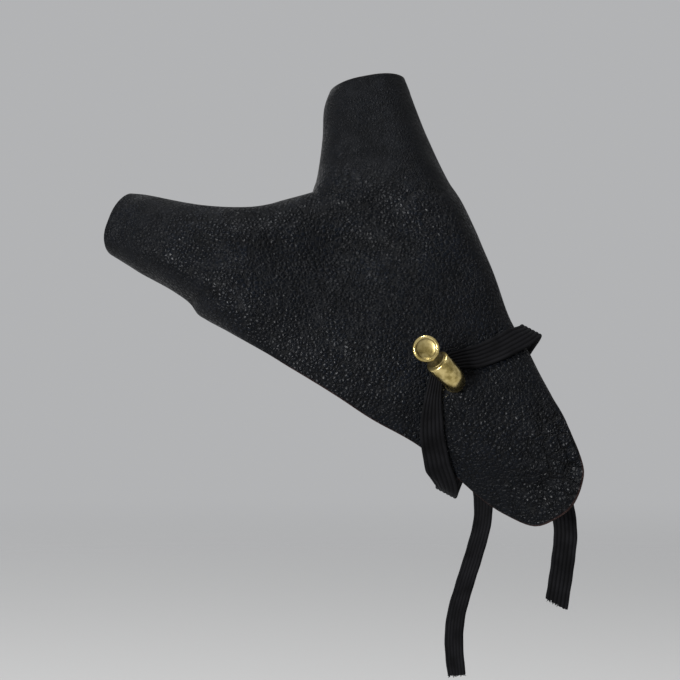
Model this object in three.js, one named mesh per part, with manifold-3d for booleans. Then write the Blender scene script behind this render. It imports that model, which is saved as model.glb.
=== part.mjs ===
// Archery bow-hand guard: a leather back with an index stall, a thumb stall and a tongue over the wrist,
// held on by a flat elastic that hooks under a brass stud.
// Millimetres. The origin is the centre of the wrist hollow, X runs right, Z up, and the back faces -Y.
// Plan positions are measured along the hand, toward the fingers, and across it, toward the thumb.
import * as THREE from 'three';
import Module from 'manifold-3d';
import { mergeVertices } from 'three/addons/utils/BufferGeometryUtils.js';

// Leather sizes
const fingerReach = 140; // wrist centre to the index stall's rim, along the hand
const thumbReach = 86; // wrist centre to the thumb stall's rim, across the hand
const backHeight = 24; // wrist's middle plane to the back of the hand
const handSlant = 28; // degrees from -X up to the line of the hand
const leatherThickness = 1.4;
const seamGap = 0.3; // between the two panels along their seams
const indexLean = 22; // degrees by which the index stall points away from the back
const thumbLean = 12; // the same for the thumb stall
const indexAim = -9.5; // degrees from the line of the hand to the index stall's own line
const thumbAim = 51.5; // the same for the thumb stall

// Wrist and elastic sizes
const wristBreadth = 57;
const wristThickness = 42;
const elasticWidth = 8;
const elasticThickness = 1.25;
const elasticGap = 0.4; // between the elastic and the leather under it
const elasticPress = 0.5; // dent that the elastic presses into the leather
const knotLength = 12;
const knotDiameter = 7.5;

// Brass sizes
const postDiameter = 6.4;
const headDiameter = 8.7;
const hookReach = 14.2; // post's centre to the centre of the head, over the leather
const hookHeight = 17; // leather to the top of the head
const hookTurn = 13; // degrees from the line of the hand toward the thumb
const studAhead = 16.2; // wrist centre to the post, along the hand
const studAcross = 3.4; // the same across the hand
const washerDiameter = 11;
const washerThickness = 1.2;
const washerLift = 0.6; // between the leather and the washer, whose plate is flat
const seatGap = 0.3; // round the post, and between brass and elastic

// Crest of the web between finger and thumb, as shares of fingerReach and thumbReach.
const indexWeb = [
  { along: 0.996, across: 0.104 },
  { along: 0.972, across: 0.12 },
  { along: 0.836, across: 0.186 },
  { along: 0.739, across: 0.26 },
  { along: 0.697, across: 0.309 },
  { along: 0.669, across: 0.354 },
  { along: 0.617, across: 0.436 },
];
const thumbWeb = [
  { along: 0.617, across: 0.436 },
  { along: 0.626, across: 0.497 },
  { along: 0.658, across: 0.638 },
  { along: 0.69, across: 0.75 },
  { along: 0.696, across: 0.812 },
];

// Outer outline, from the index rim along the lower edge, round the tongue and up to the thumb rim.
const outline = [
  { place: 'indexRim', along: 0.968, across: -0.148 },
  { place: 'indexSeam', along: 0.871, across: -0.156 },
  { place: 'indexBase', along: 0.795, across: -0.158 },
  { place: 'seamEnd', along: 0.747, across: -0.169 },
  { place: 'edgeStep', along: 0.718, across: -0.191 },
  { place: 'edgeStart', along: 0.695, across: -0.194 },
  { place: 'knuckle', along: 0.6, across: -0.194 },
  { place: 'backLow', along: 0.47, across: -0.201 },
  { place: 'backMiddle', along: 0.346, across: -0.213 },
  { place: 'backEnd', along: 0.239, across: -0.229 },
  { place: 'elasticEdge', along: 0.126, across: -0.234 },
  { place: 'wristLow', along: 0.032, across: -0.263 },
  { place: 'tongueLow', along: -0.056, across: -0.299 },
  { place: 'tongueCorner', along: -0.136, across: -0.316 },
  { place: 'tongueBottom', along: -0.21, across: -0.301 },
  { place: 'tongueTurn', along: -0.239, across: -0.247 },
  { place: 'tongueEnd', along: -0.26, across: -0.166 },
  { place: 'tongueSide', along: -0.249, across: -0.045 },
  { place: 'tongueTop', along: -0.221, across: 0.018 },
  { place: 'tongueRise', along: -0.142, across: 0.125 },
  { place: 'tongueNeck', along: -0.072, across: 0.202 },
  { place: 'wristHigh', along: 0.002, across: 0.289 },
  { place: 'wristTurn', along: 0.058, across: 0.348 },
  { place: 'thumbSide', along: 0.136, across: 0.463 },
  { place: 'thumbFlare', along: 0.204, across: 0.559 },
  { place: 'thumbStep', along: 0.287, across: 0.666 },
  { place: 'thumbSeam', along: 0.313, across: 0.693 },
  { place: 'thumbBase', along: 0.343, across: 0.721 },
  { place: 'thumbMiddle', along: 0.446, across: 0.848 },
  { place: 'thumbRim', along: 0.551, across: 1 },
];

// Height of the back, as shares of backHeight; minus is toward the viewer of the back.
const heights = [
  { place: 'wristLow', along: 0, across: -0.314, y: -0.48 },
  { place: 'wristLowInner', along: 0, across: -0.174, y: -0.83 },
  { place: 'wristMiddle', along: 0, across: 0, y: -0.94 },
  { place: 'wristHighInner', along: 0, across: 0.174, y: -0.83 },
  { place: 'wristHigh', along: 0, across: 0.303, y: -0.53 },
  { place: 'tongueLow', along: -0.143, across: -0.326, y: -0.5 },
  { place: 'tongueEnd', along: -0.25, across: -0.175, y: -0.86 },
  { place: 'tongueTop', along: -0.25, across: 0, y: -0.98 },
  { place: 'tongueRise', along: -0.157, across: 0.128, y: -0.9 },
  { place: 'backLow', along: 0.235, across: -0.233, y: -0.94 },
  { place: 'backMiddle', along: 0.321, across: 0.058, y: -1.02 },
  { place: 'knuckle', along: 0.714, across: -0.058, y: -1.02 },
  { place: 'knuckleLow', along: 0.714, across: -0.174, y: -0.88 },
  { place: 'webInner', along: 0.503, across: 0.302, y: -0.58 },
  { place: 'thumbBone', along: 0.281, across: 0.415, y: -0.67 },
  { place: 'thumbKnuckle', along: 0.435, across: 0.638, y: -0.46 },
  { place: 'thumbRim', along: 0.62, across: 0.892, y: -0.03 },
  { place: 'indexMiddle', along: 0.849, across: -0.05, y: -0.67 },
  { place: 'indexRim', along: 0.978, across: -0.023, y: -0.21 },
];

// Dents and folds of the back; width and rise are shares of backHeight, and a plus rise is a dent.
const folds = [
  { place: 'knuckleValley', along: 0.78, across: 0.03, toAlong: 0.42, toAcross: 0.29,
    width: 0.3, rise: 0.06 },
  { place: 'tongueFold', along: -0.06, across: -0.2, toAlong: -0.2, toAcross: -0.15,
    width: 0.16, rise: 0.035 },
  { place: 'tongueCrease', along: -0.12, across: -0.06, toAlong: -0.23, toAcross: -0.02,
    width: 0.12, rise: 0.025 },
  { place: 'thumbCrease', along: 0.36, across: 0.47, toAlong: 0.52, toAcross: 0.52,
    width: 0.2, rise: 0.035 },
];

// Sections from the web's crest to the outline. web and rim are shares of the two lines' lengths; the
// heights and rolls are shares of backHeight, and so is palmReach, how far the palm side covers a section
// at most. open is 0 on a sewn stall and 1 on a cut edge, and rows is the steps on to the next section.
const sections = [
  { place: 'indexRim', web: 0, rim: 0, webY: 0.25, rimY: 0.25, palmY: 0.71,
    webRoll: 0.4, rimRoll: 0.4, open: 0, palmReach: 1.6, lean: 1, rows: 3 },
  { place: 'indexMiddle', web: 0.125, rim: 0.039, webY: 0.01, rimY: 0, palmY: 0.52,
    webRoll: 0.46, rimRoll: 0.44, open: 0, palmReach: 1.6, lean: 0.75, rows: 3 },
  { place: 'indexBase', web: 0.25, rim: 0.075, webY: -0.22, rimY: -0.25, palmY: 0.3,
    webRoll: 0.52, rimRoll: 0.5, open: 0, palmReach: 1.6, lean: 0.3, rows: 3 },
  { place: 'indexSeamEnd', web: 0.355, rim: 0.106, webY: -0.25, rimY: -0.39, palmY: 0.22,
    webRoll: 0.56, rimRoll: 0.5, open: 0, palmReach: 1.6, lean: 0, rows: 4 },
  { place: 'knuckle', web: 0.48, rim: 0.155, webY: -0.17, rimY: -0.5, palmY: 0.22,
    webRoll: 0.58, rimRoll: 0.4, open: 0.6, palmReach: 0.85, lean: 0, rows: 4 },
  { place: 'backLow', web: 0.553, rim: 0.21, webY: -0.06, rimY: -0.58, palmY: 0.24,
    webRoll: 0.58, rimRoll: 0.3, open: 0.95, palmReach: 0.68, lean: 0, rows: 4 },
  { place: 'backMiddle', web: 0.6, rim: 0.263, webY: 0, rimY: -0.66, palmY: 0.28,
    webRoll: 0.58, rimRoll: 0.25, open: 1, palmReach: 0.64, lean: 0, rows: 4 },
  { place: 'elasticEdge', web: 0.626, rim: 0.335, webY: 0.03, rimY: -0.6, palmY: 0.32,
    webRoll: 0.58, rimRoll: 0.25, open: 1, palmReach: 0.63, lean: 0, rows: 6 },
  { place: 'tongueLow', web: 0.64, rim: 0.45, webY: 0.04, rimY: -0.5, palmY: 0.36,
    webRoll: 0.58, rimRoll: 0.25, open: 1, palmReach: 0.65, lean: 0, rows: 8 },
  { place: 'tongueTop', web: 0.653, rim: 0.585, webY: 0.05, rimY: -0.6, palmY: 0.4,
    webRoll: 0.58, rimRoll: 0.25, open: 1, palmReach: 0.72, lean: 0, rows: 7 },
  { place: 'wristHigh', web: 0.668, rim: 0.708, webY: 0.06, rimY: -0.24, palmY: 0.46,
    webRoll: 0.58, rimRoll: 0.4, open: 0.5, palmReach: 0.82, lean: 0, rows: 5 },
  { place: 'thumbSide', web: 0.68, rim: 0.78, webY: 0.07, rimY: -0.15, palmY: 0.54,
    webRoll: 0.6, rimRoll: 0.4, open: 0.35, palmReach: 1.06, lean: 0, rows: 4 },
  { place: 'thumbFlare', web: 0.695, rim: 0.842, webY: 0.08, rimY: 0.02, palmY: 0.66,
    webRoll: 0.62, rimRoll: 0.46, open: 0.2, palmReach: 1.44, lean: 0, rows: 4 },
  { place: 'thumbSeamEnd', web: 0.716, rim: 0.876, webY: 0.1, rimY: 0.15, palmY: 0.8,
    webRoll: 0.62, rimRoll: 0.5, open: 0, palmReach: 1.98, lean: 0, rows: 4 },
  { place: 'thumbMiddle', web: 0.85, rim: 0.935, webY: 0.24, rimY: 0.32, palmY: 0.92,
    webRoll: 0.54, rimRoll: 0.48, open: 0, palmReach: 2, lean: 0.6, rows: 5 },
  { place: 'thumbRim', web: 1, rim: 1, webY: 0.49, rimY: 0.49, palmY: 1,
    webRoll: 0.47, rimRoll: 0.47, open: 0, palmReach: 2, lean: 1, rows: 0 },
];

// Way of the elastic round the wrist: degrees from the middle of the back toward the thumb, the distance
// ahead of the wrist's line as a share of its furthest, and the width as a share of elasticWidth.
const elasticWay = [
  { place: 'lowerGather', turn: -4, ahead: 0.93, width: 0.64 },
  { place: 'bight', turn: 7, ahead: 1, width: 0.55 },
  { place: 'upperGather', turn: 15, ahead: 0.95, width: 0.6 },
  { place: 'upperBend', turn: 21, ahead: 0.8, width: 0.75 },
  { place: 'upperLeg', turn: 29, ahead: 0.58, width: 0.92 },
  { place: 'upperEdge', turn: 48, ahead: 0.28, width: 1 },
  { place: 'thumbSide', turn: 70, ahead: 0.06, width: 1 },
  { place: 'thumbPalm', turn: 110, ahead: 0, width: 1 },
  { place: 'lowerPalm', turn: 250, ahead: 0, width: 1 },
  { place: 'lowerSide', turn: 290, ahead: 0.04, width: 1 },
  { place: 'lowerEdge', turn: 315, ahead: 0.39, width: 1 },
  { place: 'lowerLeg', turn: 335, ahead: 0.7, width: 0.95 },
];

// Hanging ends of the elastic: centre line points, and degrees by which the tape turns about its line.
const longEndRoute = [
  { x: -2.5, y: 25, z: -9.6, turn: 0 },
  { x: -2, y: 24.5, z: -18, turn: 18 },
  { x: -0.6, y: 22.5, z: -30, turn: 38 },
  { x: -1.1, y: 20, z: -38, turn: 45 },
  { x: -3.5, y: 18, z: -47, turn: 46 },
  { x: -7.4, y: 16, z: -59, turn: 46 },
  { x: -10.2, y: 14, z: -68.5, turn: 44 },
  { x: -11.1, y: 13, z: -76, turn: 42 },
  { x: -10.9, y: 12, z: -83, turn: 42 },
  { x: -10.2, y: 12, z: -89, turn: 44 },
];
const shortEndRoute = [
  { x: 2.3, y: 26.2, z: -4.7, turn: 0 },
  { x: 6.4, y: 25.9, z: -6.6, turn: 0 },
  { x: 12, y: 24.5, z: -9.5, turn: 0 },
  { x: 19, y: 21.5, z: -16.5, turn: 4 },
  { x: 24.6, y: 18, z: -27, turn: 8 },
  { x: 26.8, y: 14.5, z: -40, turn: 8 },
  { x: 25.8, y: 12, z: -50, turn: 4 },
  { x: 24.5, y: 11, z: -58.5, turn: 0 },
  { x: 23.4, y: 10, z: -64.8, turn: 0 },
];

// Centre line of the hook over the leather: shares of hookReach and hookHeight, and of headDiameter / 2.
const hookLine = [
  { place: 'foot', out: 0, up: 0, radius: 0.76 },
  { place: 'shank', out: 0.02, up: 0.17, radius: 0.8 },
  { place: 'bend', out: 0.14, up: 0.36, radius: 0.86 },
  { place: 'arm', out: 0.42, up: 0.52, radius: 0.91 },
  { place: 'shoulder', out: 0.66, up: 0.64, radius: 0.94 },
  { place: 'neck', out: 0.81, up: 0.75, radius: 0.72 },
  { place: 'throat', out: 0.93, up: 0.86, radius: 0.7 },
  { place: 'headBack', out: 0.99, up: 0.93, radius: 0.74 },
];

// Half section of the hook's head, from the middle of its back to its dished face.
const headProfile = [
  { radius: 0, up: 0.87 },
  { radius: 0.7, up: 0.87 },
  { radius: 0.93, up: 0.895 },
  { radius: 1, up: 0.94 },
  { radius: 0.95, up: 0.985 },
  { radius: 0.82, up: 1 },
  { radius: 0.72, up: 0.985 },
  { radius: 0.4, up: 0.965 },
  { radius: 0, up: 0.96 },
];

// Half section of the knot, whose two wraps lie side by side: shares of knotLength and knotDiameter / 2.
const knotProfile = [
  { side: -0.5, radius: 0 },
  { side: -0.5, radius: 0.6 },
  { side: -0.42, radius: 0.9 },
  { side: -0.25, radius: 1 },
  { side: -0.08, radius: 0.93 },
  { side: 0, radius: 0.8 },
  { side: 0.08, radius: 0.93 },
  { side: 0.25, radius: 1 },
  { side: 0.42, radius: 0.9 },
  { side: 0.5, radius: 0.6 },
  { side: 0.5, radius: 0 },
];
const knotTurn = 186; // degrees round the wrist

// Degrees round the wrist between which the elastic comes down from the leather, on either side.
const leatherTurns = { thumbSide: [66, 90], lowerSide: [54, 73] };

// The highest seat of the elastic over the wrist's ellipse, on the back and down the sides.
const backSeat = 5;
const sideSeat = 3;
const sideTurns = [45, 66];

// Mesh density
const backSteps = 20;
const palmSteps = 8;
const rollPart = 0.25; // part of a section's steps that a rounded side takes
const edgePart = 0.08; // the same for a cut edge
const palmRollPart = 0.4; // the same on the palm side
const widestRoll = 0.46; // of the section's length
const elasticSteps = 68;
const endStep = 0.5; // tape widths between two rings of a hanging end
const tapeCorner = 0.3; // share of the tape's thickness that each corner takes off
const hookSides = 12;
const hookRings = 14;
const headSides = 20;
const knotSides = 16;
const holeSides = 24;
const seatTries = 6; // steps of the search for the elastic's seat

const wasm = await Module();
wasm.setup();

const rad = THREE.MathUtils.degToRad;
const { lerp, smoothstep, clamp } = THREE.MathUtils;

// From along, across and y to the part's own axes.
function placed(along, across, y) {
  const cos = Math.cos(rad(handSlant));
  const sin = Math.sin(rad(handSlant));
  return new THREE.Vector3(-cos * along + sin * across, y, sin * along + cos * across);
}

// Gauss elimination with the largest pivot of each column.
function solve(matrix, right) {
  const n = right.length;
  const rows = matrix.map((row, i) => [...row, right[i]]);
  for (let c = 0; c < n; c++) {
    let best = c;
    for (let r = c + 1; r < n; r++) {
      if (Math.abs(rows[r][c]) > Math.abs(rows[best][c])) best = r;
    }
    [rows[c], rows[best]] = [rows[best], rows[c]];
    for (let r = 0; r < n; r++) {
      if (r === c) continue;
      const factor = rows[r][c] / rows[c][c];
      for (let k = c; k <= n; k++) rows[r][k] -= factor * rows[c][k];
    }
  }
  return rows.map((row, i) => row[n] / row[i]);
}

// The smoothest sheet through the table of heights: a thin plate spline over the plan.
function thinPlate(table) {
  const spots = table.map((row) => [row.along * fingerReach, row.across * thumbReach]);
  const bend = (du, dv) => {
    const r2 = du * du + dv * dv;
    return r2 > 0 ? r2 * Math.log(r2) : 0;
  };
  const rows = spots.map(([u, v]) => [...spots.map(([a, c]) => bend(u - a, v - c)), 1, u, v]);
  rows.push([...spots.map(() => 1), 0, 0, 0]);
  rows.push([...spots.map(([u]) => u), 0, 0, 0]);
  rows.push([...spots.map(([, v]) => v), 0, 0, 0]);
  const weights = solve(rows, [...table.map((row) => row.y * backHeight), 0, 0, 0]);
  const [level, slopeU, slopeV] = weights.slice(spots.length);
  return (u, v) => {
    const flat = level + slopeU * u + slopeV * v;
    return spots.reduce((y, [a, c], i) => y + weights[i] * bend(u - a, v - c), flat);
  };
}

// Monotone cubics through points (x, y), so that the curve never overshoots a row of its table.
function through(xs, ys) {
  const slopes = ys.slice(1).map((y, i) => (y - ys[i]) / (xs[i + 1] - xs[i]));
  const leans = ys.map((y, i) => {
    const before = slopes[i - 1] ?? slopes[0];
    const after = slopes[i] ?? slopes[i - 1];
    return before * after > 0 ? (2 * before * after) / (before + after) : 0;
  });
  return (x) => {
    let i = 0;
    while (i < xs.length - 2 && x > xs[i + 1]) i++;
    const step = xs[i + 1] - xs[i];
    const q = (x - xs[i]) / step;
    return lerp(ys[i], ys[i + 1], q * q * (3 - 2 * q))
      + step * q * (1 - q) * (leans[i] * (1 - q) - leans[i + 1] * q);
  };
}

// Curve through plan points, with z unused.
function planCurve(table) {
  const points = table.map((row) => new THREE.Vector3(row.along * fingerReach, row.across * thumbReach, 0));
  return new THREE.CatmullRomCurve3(points, false, 'centripetal');
}

const indexWebCurve = planCurve(indexWeb);
const thumbWebCurve = planCurve(thumbWeb);
const outlineCurve = planCurve(outline);
const crotchShare = indexWebCurve.getLength() / (indexWebCurve.getLength() + thumbWebCurve.getLength());

// Point of the web's crest, which turns sharply between its two curves.
function webPoint(share) {
  if (share < crotchShare) return indexWebCurve.getPointAt(share / crotchShare);
  return thumbWebCurve.getPointAt((share - crotchShare) / (1 - crotchShare));
}

// A column of elasticWay as a function of the turn round the wrist.
function elasticColumn(name) {
  const laps = [-360, 0, 360];
  const turns = laps.flatMap((lap) => elasticWay.map((row) => row.turn + lap));
  const value = through(turns, laps.flatMap(() => elasticWay.map((row) => row[name])));
  return (turn) => value(((turn % 360) + 360) % 360);
}

const aheadShare = elasticColumn('ahead');
const widthShare = elasticColumn('width');
const gatheredHalf = (elasticWidth * Math.min(...elasticWay.map((row) => row.width))) / 2;
const furthestAhead = studAhead + postDiameter / 2 + 2 * seatGap + gatheredHalf;
const plainBack = thinPlate(heights);

// Distance from a plan point to a fold's line.
function foldDistance(fold, u, v) {
  const line = new THREE.Line3(
    new THREE.Vector3(fold.along * fingerReach, fold.across * thumbReach, 0),
    new THREE.Vector3(fold.toAlong * fingerReach, fold.toAcross * thumbReach, 0),
  );
  const point = new THREE.Vector3(u, v, 0);
  return line.closestPointToPoint(point, true, new THREE.Vector3()).distanceTo(point);
}

// Outer face of the back over a plan point: the sheet, its folds and the dent under the elastic.
function backAt(u, v) {
  let y = plainBack(u, v);
  for (const fold of folds) {
    const q = foldDistance(fold, u, v) / (fold.width * backHeight);
    y += fold.rise * backHeight * Math.exp(-q * q);
  }
  const turn = THREE.MathUtils.radToDeg(Math.asin(clamp((2 * v) / wristBreadth, -1, 1)));
  const q = (u - aheadShare(turn) * furthestAhead) / elasticWidth;
  return y + elasticPress * Math.exp(-q * q);
}

// Rounding of a side: 0 at its edge, 1 where the round ends, with a quarter ellipse between.
function rounding(q) {
  return q < 1 ? Math.sqrt(Math.max(0, 1 - (1 - q) ** 2)) : 1;
}

// Distance from the web line for a share t of a section's steps, closer together on its rounded sides.
function reachAt(t, length, webRoll, rimRoll, webPart, rimPart) {
  if (t < webPart) return webRoll * (1 - Math.cos((t / webPart) * Math.PI / 2));
  if (t > 1 - rimPart) return length - rimRoll * (1 - Math.cos(((1 - t) / rimPart) * Math.PI / 2));
  return lerp(webRoll, length - rimRoll, (t - webPart) / (1 - webPart - rimPart));
}

// The share of a section's steps at which a distance from the web line is reached.
function stepAt(reach, length, webRoll, rimRoll, webPart, rimPart) {
  const turnedTo = (depth, roll) => Math.acos(clamp(1 - depth / roll, 0, 1)) / (Math.PI / 2);
  if (reach < webRoll) return webPart * turnedTo(reach, webRoll);
  if (reach > length - rimRoll) return 1 - rimPart * turnedTo(length - reach, rimRoll);
  return lerp(webPart, 1 - rimPart, (reach - webRoll) / (length - webRoll - rimRoll));
}

const sectionNumbers = sections.map((row, i) => i);
const cut = {};
for (const name of Object.keys(sections[0]).filter((key) => key !== 'place' && key !== 'rows')) {
  cut[name] = through(sectionNumbers, sections.map((row) => row[name]));
}
const crotchSection = sections.findIndex((row) => row.web > crotchShare);

// Point of a panel's outer face: s runs through the sections, t from the web line to the outline.
function leatherPoint(palm, s, t) {
  const web = webPoint(clamp(cut.web(s), 0, 1));
  const span = outlineCurve.getPointAt(clamp(cut.rim(s), 0, 1)).sub(web);
  const full = span.length();
  const webRoll = Math.min(cut.webRoll(s) * backHeight, widestRoll * full);
  const rimRoll = Math.min(cut.rimRoll(s) * backHeight, widestRoll * full);
  const open = palm ? 0 : cut.open(s);
  const parts = palm ? [palmRollPart, palmRollPart] : [rollPart, lerp(rollPart, edgePart, open)];
  const covered = palm ? Math.min(cut.palmReach(s) * backHeight, full) : full;
  const lastStep = stepAt(covered, full, webRoll, rimRoll, ...parts);
  const reach = reachAt(t * lastStep, full, webRoll, rimRoll, ...parts);
  const spot = web.addScaledVector(span, reach / full);
  const seamY = lerp(cut.webY(s), cut.rimY(s), reach / full) * backHeight;
  const deepY = palm ? cut.palmY(s) * backHeight : backAt(spot.x, spot.y);
  const closing = lerp(rounding((full - reach) / rimRoll), 1, open);
  const y = lerp(seamY, deepY, rounding(reach / webRoll) * closing);
  const onIndex = s < crotchSection;
  const aim = rad(onIndex ? indexAim : thumbAim);
  const slide = cut.lean(s) * Math.tan(rad(onIndex ? indexLean : thumbLean)) * (seamY - y);
  return placed(spot.x + slide * Math.cos(aim), spot.y + slide * Math.sin(aim), y);
}

// Outward direction of a panel's face, level along its seams so that the two walls meet face to face.
function leatherNormal(palm, s, t) {
  const last = sections.length - 1;
  const h = 0.01;
  const alongS = leatherPoint(palm, Math.min(s + h, last), t).sub(leatherPoint(palm, Math.max(s - h, 0), t));
  const alongT = leatherPoint(palm, s, Math.min(t + h, 1)).sub(leatherPoint(palm, s, Math.max(t - h, 0)));
  const normal = palm ? alongS.cross(alongT) : alongT.cross(alongS);
  normal.normalize();
  if (t === 0) normal.y = 0;
  if (t === 1 && !palm) normal.y *= cut.open(s);
  return normal.normalize();
}

// Closed solid through rings of equal, even numbers of points; the ends are filled across the ring.
function loft(rings, looped = false) {
  const n = rings[0].length;
  const positions = rings.flat().flatMap((point) => point.toArray());
  const index = [];
  const quad = (a, b, c, d) => index.push(a, b, c, a, c, d);
  const laps = looped ? rings.length : rings.length - 1;
  for (let i = 0; i < laps; i++) {
    const from = i * n;
    const to = ((i + 1) % rings.length) * n;
    for (let k = 0; k < n; k++) quad(from + k, from + ((k + 1) % n), to + ((k + 1) % n), to + k);
  }
  if (!looped) {
    const last = (rings.length - 1) * n;
    for (let k = 0; k < n / 2 - 1; k++) {
      quad(k + 1, k, n - 1 - k, n - 2 - k);
      quad(last + k, last + k + 1, last + n - 2 - k, last + n - 1 - k);
    }
  }
  const geometry = new THREE.BufferGeometry();
  geometry.setAttribute('position', new THREE.Float32BufferAttribute(positions, 3));
  geometry.setIndex(index);
  return facedOut(geometry);
}

// Turns the faces round if they point inward.
function facedOut(geometry) {
  const position = geometry.getAttribute('position');
  const index = geometry.getIndex();
  const corner = [0, 1, 2].map(() => new THREE.Vector3());
  let volume = 0;
  for (let i = 0; i < index.count; i += 3) {
    corner.forEach((point, k) => point.fromBufferAttribute(position, index.getX(i + k)));
    volume += corner[0].dot(corner[1].clone().cross(corner[2]));
  }
  if (volume < 0) {
    const turned = Array.from(index.array);
    for (let i = 0; i < turned.length; i += 3) [turned[i], turned[i + 1]] = [turned[i + 1], turned[i]];
    geometry.setIndex(turned);
  }
  return geometry;
}

// Booleans on closed meshes.
function solidOf(geometry) {
  const bare = geometry.clone();
  bare.deleteAttribute('normal');
  bare.deleteAttribute('uv');
  const merged = mergeVertices(bare, 1e-4);
  const vertProperties = Float32Array.from(merged.getAttribute('position').array);
  const triVerts = Uint32Array.from(merged.getIndex().array);
  return new wasm.Manifold(new wasm.Mesh({ numProp: 3, vertProperties, triVerts }));
}

function geometryOf(solid) {
  const mesh = solid.getMesh();
  const geometry = new THREE.BufferGeometry();
  geometry.setAttribute('position', new THREE.Float32BufferAttribute(mesh.vertProperties, 3));
  geometry.setIndex(Array.from(mesh.triVerts));
  return geometry;
}

// One leather panel: every section is a ring down the outer face and back along the flesh side.
function panel(palm) {
  const steps = palm ? palmSteps : backSteps;
  const stations = sections.flatMap((row, i) => Array.from({ length: row.rows }, (_, k) => i + k / row.rows));
  stations.push(sections.length - 1);
  const shift = new THREE.Vector3(0, (palm ? 0.5 : -0.5) * seamGap, 0);
  const rings = stations.map((s) => {
    const outer = [];
    const inner = [];
    for (let k = 0; k <= steps; k++) {
      const t = k / steps;
      const point = leatherPoint(palm, s, t).add(shift);
      outer.push(point);
      inner.unshift(point.clone().addScaledVector(leatherNormal(palm, s, t), -leatherThickness));
    }
    return [...outer, ...inner];
  });
  return loft(rings);
}

// Axes of the stud: up stands square to the leather at the post, out lies along it under the hook.
function studAxes() {
  const h = 0.5;
  const origin = placed(studAhead, studAcross, backAt(studAhead, studAcross) - seamGap / 2);
  const du = placed(studAhead + h, studAcross, backAt(studAhead + h, studAcross))
    .sub(placed(studAhead - h, studAcross, backAt(studAhead - h, studAcross)));
  const dv = placed(studAhead, studAcross + h, backAt(studAhead, studAcross + h))
    .sub(placed(studAhead, studAcross - h, backAt(studAhead, studAcross - h)));
  const up = du.cross(dv).normalize();
  if (up.y > 0) up.negate();
  const out = placed(Math.cos(rad(hookTurn)), Math.sin(rad(hookTurn)), 0);
  out.addScaledVector(up, -out.dot(up)).normalize();
  return { origin, up, out, side: up.clone().cross(out) };
}

const stud = studAxes();

// A turned solid whose own +Y axis is laid along the stud's up, from a profile of [radius, height].
function turnedOnStud(profile, sides, center = stud.origin) {
  const points = profile.map(([radius, height]) => new THREE.Vector2(radius, height));
  const geometry = new THREE.LatheGeometry(points, sides);
  const axes = new THREE.Matrix4().makeBasis(stud.out, stud.up, stud.out.clone().cross(stud.up));
  return geometry.applyMatrix4(axes.setPosition(center));
}

// Solid cylinder on the stud's axis between two heights over the leather.
function studCylinder(radius, low, high) {
  return turnedOnStud([[0, low], [radius, low], [radius, high], [0, high]], holeSides);
}

function backPanel() {
  const hole = studCylinder(postDiameter / 2 + seatGap, -3 * leatherThickness, 2 * leatherThickness);
  return geometryOf(solidOf(panel(false)).subtract(solidOf(hole)));
}

// Brass hook: a post through the leather, an arm bent over the elastic and a dished head.
function hookStud() {
  const at = (row) => stud.origin.clone()
    .addScaledVector(stud.out, row.out * hookReach)
    .addScaledVector(stud.up, row.up * hookHeight);
  const curve = new THREE.CatmullRomCurve3(hookLine.map(at), false, 'centripetal');
  const numbers = hookLine.map((row, i) => i);
  const radiusAt = through(numbers, hookLine.map((row) => (row.radius * headDiameter) / 2));
  const rings = [];
  for (let i = 0; i <= hookRings; i++) {
    const share = i / hookRings;
    const center = curve.getPoint(share);
    const tangent = curve.getTangent(share);
    const across = stud.side.clone().addScaledVector(tangent, -stud.side.dot(tangent)).normalize();
    const other = tangent.clone().cross(across);
    const radius = radiusAt(share * (hookLine.length - 1));
    rings.push(Array.from({ length: hookSides }, (_, k) => {
      const angle = (k / hookSides) * 2 * Math.PI;
      return center.clone()
        .addScaledVector(across, radius * Math.cos(angle))
        .addScaledVector(other, radius * Math.sin(angle));
    }));
  }
  const headCenter = stud.origin.clone().addScaledVector(stud.out, hookReach);
  const headPoints = headProfile.map((row) => [(row.radius * headDiameter) / 2, row.up * hookHeight]);
  const head = turnedOnStud(headPoints, headSides, headCenter);
  const postEnd = -leatherThickness - washerLift - washerThickness;
  const post = studCylinder(postDiameter / 2, postEnd, 0.1 * hookHeight);
  return geometryOf(solidOf(loft(rings)).add(solidOf(head)).add(solidOf(post)));
}

// Back plate of the stud on the flesh side.
function studWasher() {
  const top = -leatherThickness - washerLift;
  const inner = postDiameter / 2 + seatGap;
  const profile = [
    [inner, top - washerThickness],
    [washerDiameter / 2, top - washerThickness],
    [washerDiameter / 2, top],
    [inner, top],
    [inner, top - washerThickness],
  ];
  return turnedOnStud(profile, holeSides);
}

// Point over the wrist: its ellipse at a turn, raised along the ellipse's own normal.
function overWrist(ahead, turn, lift) {
  const a = wristBreadth / 2;
  const b = wristThickness / 2;
  const normal = new THREE.Vector2(Math.sin(rad(turn)) / a, -Math.cos(rad(turn)) / b).normalize();
  return placed(ahead, a * Math.sin(rad(turn)) + lift * normal.x, -b * Math.cos(rad(turn)) + lift * normal.y);
}

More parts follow.
